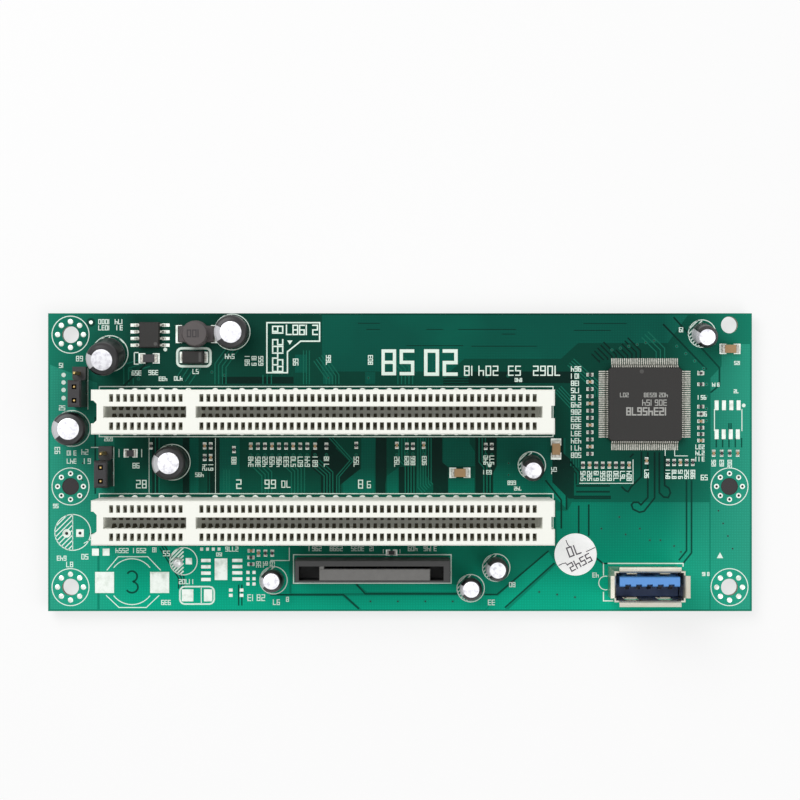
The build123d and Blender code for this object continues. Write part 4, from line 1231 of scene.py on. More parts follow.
LEFT_HOLES = around_hole(HOLE_MIDDLE_Y, LEFT) + around_hole(HOLE_FRONT_Y, LEFT)
RIGHT_HOLES = around_hole(HOLE_FRONT_Y, RIGHT) + around_hole(HOLE_MIDDLE_Y, RIGHT)
# Outlines of the light pours of copper
POURS = (
    (
        (-14.8, 17.2), (9.5, 17.2), (12.2, 19.6), (30.5, 19.6), (33.8, 22.6), (50.8, 22.6), (54.6, 27.9),
        (-14.8, 27.9),
    ),
    (
        (LEFT, 18.5), *LEFT_HOLES, (LEFT, FRONT), (-57.4, FRONT), (-57.4, -6.2), (-54.2, -5.8), (-54.2, 4.9),
        (-57.4, 5.4), (-57.4, 15.0),
    ),
    ((-57.0, FRONT), (-8.0, FRONT), (-11.0, -25.35), (-21.0, -25.35), (-21.0, -16.0), (-57.0, -16.0)),
    ((-7.3, FRONT), (16.2, FRONT), (18.7, -25.3), (-10.2, -25.3)),
    ((-20.6, -24.8), (-6.9, -24.8), (-8.6, -23.2), (-20.6, -23.2)),
    ((10.9, -24.6), (-6.3, -24.6), (-7.9, -23.2), (10.9, -23.2)),
    ((-7.35, 4.6), (-7.35, -1.2), (-10.9, -3.9), (-10.9, -5.9), (-4.85, -5.9), (-4.65, 4.6)),
    ((-2.5, -5.9), (-0.3, -5.9), (-0.3, -1.0), (-2.5, -2.6)),
    ((8.1, 4.6), (8.1, -0.1), (9.0, -0.75), (14.2, -0.75), (14.2, 2.0), (13.2, 3.6), (13.2, 4.6)),
    ((9.2, -3.0), (9.2, -5.9), (14.1, -5.9), (14.1, -3.0)),
    ((18.4, 4.6), (18.4, -0.7), (17.7, -2.1), (17.7, -5.9), (28.6, -5.9), (31.4, -8.6), (31.4, 4.6)),
    ((-39.9, 4.6), (-39.9, -5.9), (-38.2, -5.9), (-38.2, 4.6)),
    ((-34.2, 4.6), (-34.2, -5.9), (-30.4, -5.9), (-30.4, 4.6)),
    ((58.9, FRONT), (RIGHT, FRONT), *RIGHT_HOLES, (RIGHT, 22.4), (61.0, 22.4), (61.0, 18.2), (58.9, 16.0)),
    ((29.6, -9.2), (31.8, -9.2), (32.6, -7.6), (58.7, -7.6), (58.7, FRONT), (20.6, FRONT), (29.9, -19.2)),
)


def counter_clockwise(outline):
    """The outline in counter-clockwise order."""
    outline = np.asarray(outline, float)
    after = np.roll(outline, -1, axis=0)
    area = (outline[:, 0] * after[:, 1] - after[:, 0] * outline[:, 1]).sum()
    return outline if area > 0 else outline[::-1]


def filled_shape(outline, low, high):
    """A flat shape from low to high."""
    return prism(counter_clockwise(outline), [(low, 0), (high, 0)])


# Outlines of the dark bands beside the pours, of the slanting band and of the small pours at the rear
DARK_BANDS = (
    ((-47.0, 4.6), (-47.0, -5.9), (-45.6, -5.9), (-45.6, 4.6)),
    ((-41.2, 4.6), (-41.2, -5.9), (-39.95, -5.9), (-39.95, 4.6)),
    ((-36.0, 4.6), (-36.0, -5.9), (-34.25, -5.9), (-34.25, 4.6)),
    (
        (-16.9, -0.9), (-15.0, -2.6), (-15.0, -5.9), (-11.3, -5.9), (-11.3, -4.3), (-7.6, -1.3), (-7.6, 1.4),
        (-9.5, 0.1), (-12.2, 2.6), (-12.2, 4.6), (-15.4, 4.6), (-16.9, 2.0),
    ),
    ((-4.6, 4.6), (-4.6, -5.9), (-3.0, -5.9), (-2.55, -2.5), (-2.55, 4.6)),
    ((-0.2, -0.9), (-0.2, -5.9), (3.0, -5.9), (3.0, -0.9)),
    ((4.9, 4.6), (4.9, -2.4), (6.3, -4.4), (6.3, -5.9), (9.1, -5.9), (9.1, -1.0), (8.0, 0.0), (8.0, 4.6)),
    ((14.3, 4.6), (14.3, -5.9), (17.6, -5.9), (17.6, -2.1), (18.3, -0.7), (18.3, 4.6)),
    ((-34.0, 14.9), (-34.0, 16.2), (-20.2, 16.2), (-20.2, 14.9)),
    ((13.0, 15.0), (13.0, 17.2), (33.0, 17.2), (33.0, 15.0)),
    ((28.9, 4.6), (28.9, -3.8), (32.0, -6.9), (33.0, -6.9), (33.0, 0.0), (31.0, 1.6), (31.0, 4.6)),
)
BAND = ((18.9, -25.1), (28.1, -16.9), (29.5, -19.0), (19.9, FRONT), (16.4, FRONT))
SMALL_POURS = (
    ((-19.9, 17.0), (-17.6, 17.0), (-17.6, 20.4), (-19.9, 20.4)),
    ((-14.6, 14.9), (-12.6, 14.9), (-12.6, 17.1), (-14.6, 17.1)),
    ((-6.6, 14.9), (-4.7, 14.9), (-4.7, 17.1), (-6.6, 17.1)),
)
pours = joined([filled_shape(outline, *POUR) for outline in POURS + SMALL_POURS + (BAND,)])
dark_bands = joined([filled_shape(outline, *DARK) for outline in DARK_BANDS])
make_piece("copper_pours", [(pours, pour_mask), (dark_bands, gap_mask)])

# Fine lines in the copper: paths, then bundles of parallel lines, each as the path of its first line, how
# many there are, their pitch and their kind

TRACE_WIDTH = 0.2
GAP_WIDTH = 0.26
GAP_LINE_WIDTH = 0.32
FAINT_WIDTH = 0.12
GAP_LINES = (
    ((-24.6, -25.15), (-10.7, -25.15), (-7.8, -27.8)),
    ((-8.3, -23.1), (-6.6, -24.97), (10.9, -24.97)),
    ((16.1, -25.1), (18.4, -25.1), (28.2, -16.8)),
    ((19.9, -27.6), (29.3, -19.1)),
    ((54.35, -3.4), (54.35, -16.8), (52.9, -18.6)),
    ((55.3, -3.4), (55.3, -17.2), (53.7, -19.2)),
    ((44.3, 1.6), (43.6, 0.9)),
    ((45.8, 2.0), (45.8, -2.7), (43.8, -4.7), (43.3, -5.6), (42.8, -5.4), (42.0, -4.6)),
    (
        (47.0, 1.9), (47.0, -6.7), (45.7, -8.1), (45.2, -7.6), (44.3, -7.6), (43.9, -8.1), (44.2, -8.9),
        (45.4, -9.5), (46.3, -9.3), (48.3, -6.8), (48.3, 1.9),
    ),
    (
        (50.2, 1.9), (50.2, -4.4), (51.0, -4.9), (51.3, -5.8), (50.9, -6.7), (50.0, -6.6), (49.2, -5.8),
        (49.2, 1.9),
    ),
    ((33.4, -4.5), (39.8, -4.5)),
    ((33.4, -5.6), (39.8, -5.6)),
    ((33.0, -6.5), (40.0, -6.5)),
    ((33.0, -6.85), (40.0, -6.85)),
    ((35.8, -8.0), (35.8, -14.0)),
    ((33.9, -8.2), (33.9, -13.5)),
    ((28.6, -1.6), (31.6, -6.2), (31.6, -9.0)),
    ((27.6, -3.4), (30.6, -7.2), (30.6, -12.6)),
    ((37.0, -18.0), (38.6, -19.3)),
    ((51.9, 27.5), (60.6, 17.9), (60.6, 14.6), (58.9, 13.2)),
    ((49.9, 26.2), (58.2, 17.6)),
    ((-53.1, 13.8), (-46.2, 20.6)),
    ((-57.8, 8.6), (-57.8, -6.0)),
)
FAINT_LINES = (
    ((-8.0, 26.35), (-3.8, 26.35)),
    ((-6.4, 25.2), (-3.8, 25.2)),
    ((5.0, 25.2), (8.2, 25.2)),
    ((11.0, 25.2), (22.0, 25.2)),
    ((19.3, 24.3), (21.9, 24.3)),
    ((1.2, 22.1), (12.0, 22.1)),
    ((13.5, 22.0), (26.0, 22.0)),
    ((34.8, 26.3), (43.0, 26.3)),
    ((33.0, 25.0), (40.0, 25.0)),
)
BUNDLES = (
    (((31.8, 18.4), (37.0, 13.6), (37.0, 12.4)), 4, 0.55, "light"),
    (((29.4, 13.4), (32.4, 10.2), (32.4, -1.0)), 4, 0.5, "light"),
    (((29.0, 4.6), (29.0, 1.0), (32.2, -2.6), (32.2, -4.2)), 4, 0.62, "gap"),
    (((41.0, 19.4), (41.0, 20.4), (38.6, 22.8)), 5, 0.8, "gap"),
    (((45.6, 19.4), (45.6, 21.2), (43.2, 23.6)), 5, 0.8, "gap"),
    (((50.2, 19.4), (50.2, 21.6), (47.0, 24.8)), 3, 0.8, "light"),
    (((-46.4, 4.6), (-46.4, -5.9)), 2, 0.7, "light"),
    (((-36.4, 4.6), (-36.4, -5.9)), 2, 0.5, "gap"),
    (((-33.4, -1.4), (-33.4, -5.9)), 3, 0.5, "light"),
    (((-28.0, -0.8), (-26.2, -2.6), (-26.2, -5.9)), 4, 0.62, "light"),
    (((-21.8, -0.8), (-20.6, -2.0), (-20.6, -5.9)), 5, 0.62, "light"),
    (((-16.4, -0.8), (-14.4, -2.6), (-14.4, -5.9)), 4, 0.55, "light"),
    (((-13.4, 4.6), (-9.5, 0.3), (-12.0, -2.6), (-12.0, -5.9)), 2, 0.45, "light"),
    (((-3.4, 4.6), (-3.4, -5.9)), 2, 0.5, "gap"),
    (((-0.2, 4.6), (-0.2, 0.4), (1.0, -0.8), (1.0, -5.9)), 4, 0.55, "light"),
    (((3.4, 4.6), (3.4, -4.8), (4.4, -5.9)), 6, 0.5, "light"),
    (((15.0, 4.6), (15.0, 0.0), (15.9, -1.0), (15.9, -5.9)), 3, 0.6, "light"),
    (((-24.4, 14.8), (-24.4, 16.6)), 3, 0.8, "light"),
    (((-17.2, 14.8), (-17.2, 21.2)), 3, 0.55, "light"),
    (((-11.6, 14.8), (-11.6, 16.6), (-14.4, 20.6)), 5, 0.6, "light"),
    (((2.4, 14.8), (2.4, 18.4), (0.4, 20.2)), 5, 0.7, "light"),
    (((8.2, 14.9), (22.0, 14.9)), 3, 0.5, "gap"),
    (((-50.6, 14.8), (-50.6, 17.2), (-47.4, 18.2)), 3, 0.9, "light"),
    (((-40.0, 14.8), (-38.0, 17.8), (-36.6, 22.0)), 4, 0.9, "light"),
    (((-33.0, 14.8), (-33.0, 18.0), (-29.6, 22.8)), 4, 0.7, "light"),
    (((-45.6, -16.2), (-42.0, -22.0), (-42.0, -24.0)), 3, 0.5, "gap"),
    (((-30.6, -23.2), (-30.6, -27.2)), 2, 0.6, "gap"),
    (((-59.0, -14.0), (-56.8, -14.0)), 2, 0.4, "gap"),
    (((60.0, 4.6), (60.0, 2.8)), 5, 1.2, "gap"),
    (((62.4, 7.4), (62.4, 5.8)), 2, 0.4, "gap"),
)


def bundle(path, count, pitch, width, low, high):
    """Parallel lines along a path: line i stands off i pitches to the left along the mitre."""
    path = np.asarray(path, float)
    side = mitres(path, False)
    return joined([ribbon(path + side * pitch * step, width, low, high) for step in range(count)])


light_lines = [bundle(*row[:3], TRACE_WIDTH, *LINE) for row in BUNDLES if row[3] == "light"]
gap_lines = [bundle(*row[:3], GAP_WIDTH, *LINE) for row in BUNDLES if row[3] == "gap"]
gap_lines += [ribbon(path, GAP_LINE_WIDTH, *LINE) for path in GAP_LINES]
gap_lines += [ribbon(path, FAINT_WIDTH, *LINE) for path in FAINT_LINES]
make_piece("copper_traces", [(joined(light_lines), trace_mask), (joined(gap_lines), gap_mask)])

# Vias, pads and the unfitted places. Rows are given as first place, step to the next, how many and, for
# pads, the size of each

VIA_ROWS = (
    ((-28.3, 1.35), (1.34, 0), 9),
    ((-16.1, 1.4), (2.15, 0), 2),
    ((-8.3, 1.4), (7.7, 0), 2),
    ((1.3, 1.6), (1.15, 0), 2),
    ((4.5, 1.6), (1.0, 0), 1),
    ((16.26, 1.4), (1.15, 0), 2),
    ((58.15, 14.78), (0, -2.3), 4),
    ((40.2, 21.3), (1.6, 0.35), 6),
    ((-40.5, 18.3), (2.4, -0.6), 4),
    ((-52.6, 19.0), (1.5, -1.6), 3),
    ((-6.0, 16.0), (-7.6, 0), 2),
    ((8.5, 16.4), (4.0, 0), 4),
    ((20.6, -0.2), (0.0, -2.2), 2),
    ((52.5, 22.0), (1.7, -1.4), 4),
    ((41.6, -10.4), (3.9, -2.2), 4),
    ((38.2, -12.6), (4.6, -1.1), 4),
    ((60.4, -9.2), (0.9, -2.4), 4),
    ((-60.2, -6.6), (0, 3.2), 3),
    ((-5.6, -26.4), (5.2, 0), 4),
    ((26.4, -24.6), (3.4, -0.5), 3),
)
via_places = np.vstack([spaced(*row) for row in VIA_ROWS])
via_ring = ribbon(circle(0.24, 12), 0.16, LINE[0], LINE[1] + 0.006, closed=True)
via_hole = prism(circle(0.16, 12), [(LINE[0], 0), (LINE[1] + 0.004, 0)])

HOLE_CENTRES = {
    "rear left": (-HOLE_X, HOLE_REAR_Y),
    "front left": (-HOLE_X, HOLE_FRONT_Y),
    "front right": (HOLE_X, HOLE_FRONT_Y),
    "middle left": (-HOLE_X, HOLE_MIDDLE_Y),
    "middle right": (HOLE_X, HOLE_MIDDLE_Y),
}
filled_rings = [HOLE_CENTRES[name] for name in ("rear left", "front left", "front right")]
open_rings = [HOLE_CENTRES[name] for name in ("middle left", "middle right")]
ring_places = circle(2.45, 8)
solder_dot = lathe([(0, PAD[0]), (0.5, PAD[0]), (0.5, PAD[1]), (0.3, PAD[1] + 0.05), (0, PAD[1] + 0.07)], 16)
filled_dots = copies(copies(solder_dot, ring_places), filled_rings)
open_ring = ribbon(circle(0.37, 16), 0.24, *PAD, closed=True)
open_dots = copies(copies(open_ring, ring_places), open_rings)
# A dark disc in each small ring: painted shade in its open hole
open_centre = prism(circle(0.26, 16), [(PAD[0], 0), (PAD[1] - 0.01, 0)])
open_centres = copies(copies(open_centre, ring_places), open_rings)

EMPTY_INDUCTOR = (-50.86, -22.66)
EMPTY_CAN = (-62.08, -13.31)
EMPTY_SMALL_CAN = (-41.07, -18.78)
ROUND_PAD = (-63.23, -13.5)
SQUARE_PAD = (-60.7, -13.45)
FIDUCIAL = (-58.63, 26.53)
BARE_PADS = (
    ((-56.04, -22.81), (3.6, 4.0)),
    ((-45.59, -22.81), (3.6, 4.0)),
    ((-57.77, -17.05), (1.3, 1.35)),
    ((-55.75, -17.05), (1.3, 1.35)),
    ((-40.3, -25.25), (2.2, 2.3)),
    ((-36.4, -25.25), (1.6, 2.3)),
    ((-33.95, -20.3), (2.4, 4.1)),
    (SQUARE_PAD, (1.45, 1.45)),
    ((-40.06, -18.78), (1.2, 1.2)),
)
BARE_PAD_ROWS = (
    ((-36.81, -18.64), (0, -1.2), 4, (1.8, 0.62)),
    ((-30.86, -18.64), (0, -1.17), 4, (1.9, 0.62)),
    ((-37.62, -16.48), (1.1, 0), 4, (0.55, 0.6)),
    ((-28.84, -20.9), (1.15, 0), 2, (0.6, 0.6)),
    ((-28.84, -22.1), (1.15, 0), 2, (0.6, 0.6)),
    ((-28.84, -23.1), (1.15, 0), 2, (0.6, 0.6)),
    ((-32.1, -24.25), (2.05, 0), 2, (0.7, 0.6)),
    ((-32.1, -25.25), (2.05, 0), 2, (0.7, 0.6)),
    ((60.06, 10.8), (1.39, 0), 4, (0.75, 1.85)),
    ((60.06, 5.3), (1.34, 0), 4, (0.75, 1.85)),
)
bare_pads = [copies(block(*size, *PAD), place) for place, size in BARE_PADS]
bare_pads += [copies(block(*size, *PAD), spaced(*row)) for *row, size in BARE_PAD_ROWS]
blob = lathe([(0, PAD[0]), (1.0, PAD[0]), (0.95, PAD[1] + 0.1), (0.6, PAD[1] + 0.4), (0, PAD[1] + 0.52)], 20)
solder_blob = copies(blob, (-42.2, -19.0))
round_pad = copies(ribbon(circle(0.55, 20), 0.5, *PAD, closed=True), ROUND_PAD)
fiducial_dot = copies(prism(circle(0.36, 20), [(PAD[0], 0), (PAD[1], 0)]), FIDUCIAL)
fiducial_ring = copies(ribbon(circle(0.62, 24), 0.44, *LINE, closed=True), FIDUCIAL)
fitted_pads = [copies(PAD_RING, outer_tails), regulator_pads, inductor_pads, diode_pads, tiny_pads]
other_pads = [filled_dots, open_dots, *bare_pads, round_pad, fiducial_dot]
pad_coats = [
    (joined(fitted_pads + chip_pad_list + other_pads), tin_pad),
    (bridge_pads, lead_tin),
    (solder_blob, solder),
]
make_piece("tinned_pads", pad_coats)
# The via holes, the centres of the open rings and these two holes are dark discs: painted shade in open holes
dark_holes = copies(prism(circle(0.3, 16), [(HOLE[0], 0), (HOLE[1], 0)]), [ROUND_PAD, SQUARE_PAD])
via_coats = [
    (copies(via_ring, via_places), trace_mask),
    (joined([copies(via_hole, via_places), open_centres, dark_holes]), hole_shade),
    (fiducial_ring, gap_mask),
]
make_piece("vias", via_coats)

# White print

# Widths of the printed lines, the finest being the least stroke of a small number
OUTLINE = 0.17
FINE = 0.155
STROKE_SHARE = 0.14
HOLE_RING = 3.51
EMPTY_RING = 3.4
SMALL_EMPTY_RING = 2.6


def frame_line(left, right, front, rear, width=OUTLINE):
    """A rectangular line of print."""
    return ribbon([(left, front), (right, front), (right, rear), (left, rear)], width, *PRINT, closed=True)


def print_line(path, width=OUTLINE):
    """An open line of print."""
    return ribbon(path, width, *PRINT)


def print_ring(radius, places, count=56):
    """A printed ring round each of the places."""
    return copies(ribbon(circle(radius, count), OUTLINE, *PRINT, closed=True), places)


def print_dots(radius, places):
    """A printed dot at each of the places."""
    return copies(prism(circle(radius, 16), [(PRINT[0], 0), (PRINT[1], 0)]), places)


def half_hatch(x, y, radius, count, width):
    """Slanting lines that fill the left half of a ring: chords at 45 degrees, cut past the middle."""
    lines = []
    for step in (np.arange(count) + 0.5) / count * 2 - 1:
        reach = np.sqrt(1 - step**2)
        ends = np.array([(step - reach, step + reach), (step + reach, step - reach)]) * radius / np.sqrt(2)
        ends = ends[:, ::-1] * [-1, 1]
        low, high = ends[np.argsort(ends[:, 0])]
        if low[0] >= -0.15:
            continue
        if high[0] > 0:
            high = low + (high - low) * (0 - low[0]) / (high[0] - low[0])
        lines.append(print_line([low + (x, y), high + (x, y)], width))
    return lines


print_parts = [print_ring(HOLE_RING, filled_rings + open_rings, 64)]
for _, x, y, diameter, *_ in CANS:
    print_parts.append(print_ring(CAN_RINGS[diameter], (x, y)))
    print_parts += half_hatch(x, y, CAN_RINGS[diameter], 9, 0.22)
for middle in slot_rows.values():
    print_parts.append(frame_line(-57.05, 29.03, middle - 4.75, middle + 4.75))
print_parts.append(print_ring(EMPTY_RING, EMPTY_CAN))
print_parts += half_hatch(*EMPTY_CAN, EMPTY_RING, 10, 0.2)
print_parts.append(print_line([(EMPTY_CAN[0], -9.95), (EMPTY_CAN[0], -16.68)], 0.14))
print_parts.append(print_ring(SMALL_EMPTY_RING, EMPTY_SMALL_CAN, 48))
print_parts += half_hatch(*EMPTY_SMALL_CAN, SMALL_EMPTY_RING, 10, 0.3)
LEGEND_BOX = (
    (-25.25, 26.47), (-25.25, 16.98), (-21.35, 16.98), (-21.35, 20.95), (-18.85, 22.96), (-15.25, 22.96),
    (-15.25, 26.47),
)
print_parts.append(ribbon(LEGEND_BOX, 0.26, *PRINT, closed=True))
top_arc = circle(4.35, 48)[5:20] + EMPTY_INDUCTOR
print_parts += [
    print_line([(-55.61, -20.51), (-53.45, -17.92), (-47.84, -17.92), (-45.39, -20.51)]),
    print_line([(-55.75, -25.25), (-53.3, -27.56), (-48.12, -27.56), (-45.68, -25.25)]),
    print_line(top_arc),
    print_line(top_arc * [1, -1] + [0, 2 * EMPTY_INDUCTOR[1]]),
    copies(ribbon(rounded_rectangle(6.5, 3.3, 0.9), 0.3, *PRINT, closed=True), (-38.5, -25.25)),
    print_line([(-37.7, -23.7), (-37.7, -26.8)]),
    copies(ribbon(rounded_rectangle(6.3, 3.4, 0.8), 0.45, *PRINT, closed=True), diode_place),
    frame_line(-20.2, 9.7, -22.95, -17.55, 0.2),
    print_line([(-24.6, -18.64), (-21.0, -18.64), (-21.0, -16.19)]),
    print_line([(-58.63, 2.8), (-54.31, 2.8), (-54.31, -4.53)]),
    print_line([(-59.2, 17.9), (-59.2, 10.0)], 0.13),
    print_line([(39.4, -19.2), (38.6, -19.2), (38.6, -21.5)], 0.2),
    print_line([(38.6, -24.6), (38.6, -26.3), (41.0, -26.3)], 0.2),
    print_line([(38.6, -19.2), (53.7, -19.2), (53.7, -19.8)], 0.2),
    print_line(circle(1.3, 24)[5:20] + [39.0, -22.9]),
    print_line([(59.65, 10.1), (59.65, 5.9)]),
    print_line([(64.86, 10.1), (64.86, 5.9)]),
    print_line([(44.2, 0.5), (44.2, -4.0), (34.0, -4.0)], 0.13),
    print_line([(50.3, 2.6), (50.3, 1.2)], 0.13),
    print_line([(52.1, 2.6), (52.1, 1.2), (54.6, 1.2)], 0.13),
    print_line([(-53.3, 2.5), (-53.3, 0.95)], 0.15),
    print_line([(-49.0, 2.5), (-49.0, 0.95)], 0.15),
    print_line([(-3.16, -16.5), (-3.16, -17.3)], 0.15),
    print_line([(0.0, -16.5), (0.0, -17.3)], 0.15),
    print_line([(-50.4, 20.8), (-50.4, 18.6), (-49.6, 18.6)], 0.2),
    print_line([(-50.4, 20.8), (-49.6, 20.8)], 0.2),
    print_line([(-52.4, 22.6), (-53.4, 23.6)], 0.13),
    print_line([(-47.6, 4.6), (-47.6, -5.9)], 0.1),
    print_line([(-35.0, 4.6), (-35.0, -5.9)], 0.1),
    print_line([(-58.2, -14.4), (-60.0, -15.4)], 0.13),
]
DOTS = ((-44.53, 21.38), (65.2, 10.77), (17.0, -0.6))
HEADER_DOTS = [(-63.81, y) for y in (16.54, 15.13, 13.7, 12.17)]
marker = filled_shape([(-21.4, 23.1), (-20.9, 22.3), (-20.4, 23.1)], *PRINT)
arrow = filled_shape([(60.1, -18.2), (61.3, -18.2), (60.7, -17.1)], *PRINT)
print_parts += [print_dots(0.36, DOTS), print_dots(0.42, HEADER_DOTS), marker, arrow]

# Plain numbers beside the parts: X, Y, how many digits, height, quarter turns
LABELS = (
    (-56.0, 26.65, 4, 0.8, 2), (-56.0, 25.49, 4, 0.8, 2), (-53.2, 26.65, 3, 0.8, 2),
    (-53.2, 25.49, 2, 0.8, 2), (-60.8, 19.65, 2, 0.9, 2), (-64.1, 18.36, 2, 0.8, 2),
    (-64.1, 10.3, 2, 0.8, 2), (-50.0, 16.92, 3, 0.8, 2), (-46.8, 17.01, 3, 0.8, 2),
    (-44.96, 15.83, 3, 0.7, 2), (-42.08, 15.88, 3, 0.7, 2), (-38.77, 17.21, 2, 0.8, 2),
    (-32.3, 20.08, 3, 0.8, 2), (-28.99, 19.22, 3, 0.8, 1), (-27.69, 19.22, 3, 0.8, 1),
    (-26.4, 19.22, 3, 0.8, 1), (-55.3, 4.4, 3, 0.7, 2), (-19.8, 19.0, 2, 0.9, 1),
    (-13.58, 19.4, 3, 0.8, 1), (-5.61, 19.4, 3, 0.8, 1), (22.46, 15.6, 3, 0.6, 2),
    (56.97, 16.92, 2, 0.7, 2), (59.9, 14.71, 3, 0.6, 2), (57.29, 12.3, 3, 0.7, 2),
    (57.29, 9.15, 3, 0.8, 2), (64.07, 18.82, 3, 0.6, 2), (63.76, 13.45, 2, 0.6, 2),
    (53.5, 25.13, 2, 0.8, 2), (-65.3, -8.3, 2, 0.7, 2), (-65.0, 2.23, 2, 0.9, 1),
    (-62.3, 1.75, 3, 0.8, 2), (-62.3, 0.2, 3, 0.8, 2), (-59.78, 1.94, 2, 0.9, 2),
    (-59.3, 0.2, 2, 0.9, 2), (-50.08, -0.65, 2, 0.9, 2), (-38.05, -2.38, 3, 0.7, 2),
    (-49.07, -4.16, 2, 1.4, 2), (-30.57, -4.16, 1, 1.6, 2), (-24.61, -4.16, 2, 1.5, 2),
    (-64.18, -18.2, 3, 0.8, 2), (-59.78, -17.92, 2, 0.9, 2), (-62.66, -19.4, 2, 0.9, 2),
    (-52.73, -16.76, 4, 0.8, 2), (-49.4, -16.76, 4, 0.8, 2), (-46.4, -16.62, 2, 0.8, 2),
    (-44.3, -17.3, 2, 0.9, 2), (-40.4, -22.66, 5, 0.8, 2), (-44.4, -26.6, 3, 0.8, 2),
    (-31.9, -16.48, 4, 0.8, 2), (-27.26, -25.69, 4, 1.1, 2), (-34.17, -17.5, 3, 0.6, 2),
    (-23.45, -26.55, 2, 0.9, 2), (-21.35, -26.0, 1, 0.8, 2), (-16.1, -16.4, 4, 0.8, 2),
    (-12.1, -16.4, 4, 0.8, 2), (-8.05, -16.4, 4, 0.8, 2), (-5.2, -16.4, 2, 0.8, 2),
    (2.4, -16.4, 3, 0.8, 2), (5.7, -16.4, 4, 0.8, 2), (17.33, -26.6, 2, 0.9, 2),
    (-21.64, -4.16, 2, 1.2, 2), (-7.48, -4.16, 1, 1.5, 2), (-5.9, -4.25, 1, 1.2, 2),
    (16.6, -1.9, 3, 0.7, 2), (21.2, -3.9, 3, 0.7, 2), (29.2, -1.6, 2, 0.9, 1), (22.33, -5.0, 3, 0.6, 2),
    (57.7, -2.9, 2, 0.9, 2), (58.0, -21.21, 3, 0.6, 2), (37.1, -21.4, 2, 0.8, 2),
    (21.29, -23.23, 2, 0.8, 2), (46.77, -2.2, 3, 0.7, 1),
)
# Rows of numbers: first place, step to the next, how many, then digits, height and quarter turns of each
LABEL_ROWS = (
    ((33.4, 17.7), (0, -1.364), 13, 3, 0.85, 2),
    ((34.71, -2.6), (1.25, 0), 8, 3, 0.82, 1),
    ((50.81, -2.3), (1.185, 0), 5, 3, 0.75, 1),
    ((59.5, -0.35), (1.52, 0), 3, 3, 0.7, 1),
    ((56.9, 2.9), (0, -1.15), 3, 3, 0.75, 2),
    ((-28.3, 0.1), (1.34, 0), 9, 3, 0.85, 1),
    ((-16.1, 0.1), (2.15, 0), 2, 3, 0.85, 1),
    ((-8.3, 0.1), (7.7, 0), 2, 3, 0.85, 1),
    ((1.3, 0.3), (1.15, 0), 2, 3, 0.75, 1),
    ((4.6, 0.3), (1.3, 0), 1, 3, 0.75, 1),
    ((16.26, 0.4), (1.15, 0), 2, 3, 0.75, 1),
    ((-37.05, -1.0), (1.15, 0), 2, 2, 0.8, 1),
    ((-31.5, 0.1), (1.15, 0), 1, 3, 0.8, 1),
    ((-23.2, 25.3), (0, -1.27), 7, 1, 1.9, 1),
    ((-21.1, 25.1), (1.25, 0), 5, 1, 1.75, 2),
    ((-26.83, -19.4), (1.3, 0), 3, 2, 0.8, 1),
)
# The numbers run on by a fixed step from each place to the next, within their count of digits
LABEL_STEP = 37
labels = list(LABELS)
for first, step, repeats, *form in LABEL_ROWS:
    labels += [(x, y, *form) for x, y in spaced(first, step, repeats)]
for index, (x, y, count, height, turn) in enumerate(labels):
    lowest = 10 ** (count - 1)
    text = str(lowest + index * LABEL_STEP % (9 * lowest))
    digits = number(text, height, max(FINE, STROKE_SHARE * height), *PRINT)
    print_parts.append(copies(digits, (x, y), turn * np.pi / 2))
# Bold numbers: text, height, stroke, X and Y
BOLD_NUMBERS = (
    ("58", 4.3, 0.62, -0.4, 18.95),
    ("20", 4.4, 0.66, 7.75, 18.9),
    ("20418", 1.7, 0.22, 15.4, 17.35),
    ("53", 1.7, 0.22, 21.7, 17.35),
    ("7062", 1.7, 0.22, 27.8, 17.35),
)
for text, height, width, x, y in BOLD_NUMBERS:
    print_parts.append(copies(number(text, height, width, *PRINT), (x, y), np.pi))
make_piece("white_print", [(joined(print_parts), white_print)])

# The copper number in the unfitted inductor's place: two bows, the lower one larger and turned over

turns = np.radians(np.linspace(150, -75, 14))
upper_bow = np.column_stack([np.cos(turns), np.sin(turns) + 1])
lower_bow = upper_bow[::-1] * [1.15, -1.05]
copper_number = copies(ribbon(np.vstack([upper_bow, lower_bow]), 0.34, *LINE), EMPTY_INDUCTOR)
make_piece("copper_number", [(copper_number, gap_mask)])

# Sticker: plain numbers stamped aslant, as text, height, stroke, X and Y from its middle and angle in
# degrees, and thin lines

_, sticker_high = node_box("inspection_sticker")
sticker_x, sticker_y, _ = node_middle("inspection_sticker")
coat_node("inspection_sticker", sticker_paper)
INK = (sticker_high[2] - 0.01, sticker_high[2] + 0.006)
STAMPS = (("5542", 1.5, 0.24, 0.85, -1.5, 208.0), ("70", 1.75, 0.26, -0.35, 0.75, 200.0))
STAMP_LINE_WIDTH = 0.17
STAMP_LINES = (
    ((-1.85, 2.75), (-1.5, 1.9), (-1.15, 1.5)),
    ((-3.25, -2.1), (-2.5, -1.75), (-1.9, -1.6), (-1.5, -2.1)),
    ((2.0, 0.55), (2.8, 0.9), (3.7, 1.35)),
)
stamps = [
    copies(number(text, height, width, *INK), (sticker_x + x, sticker_y + y), np.radians(angle))
    for text, height, width, x, y, angle in STAMPS
]
stamps += [ribbon(np.array(path) + [sticker_x, sticker_y], STAMP_LINE_WIDTH, *INK) for path in STAMP_LINES]
make_piece("sticker_ink", [(joined(stamps), sticker_ink)])

# Underside and feet

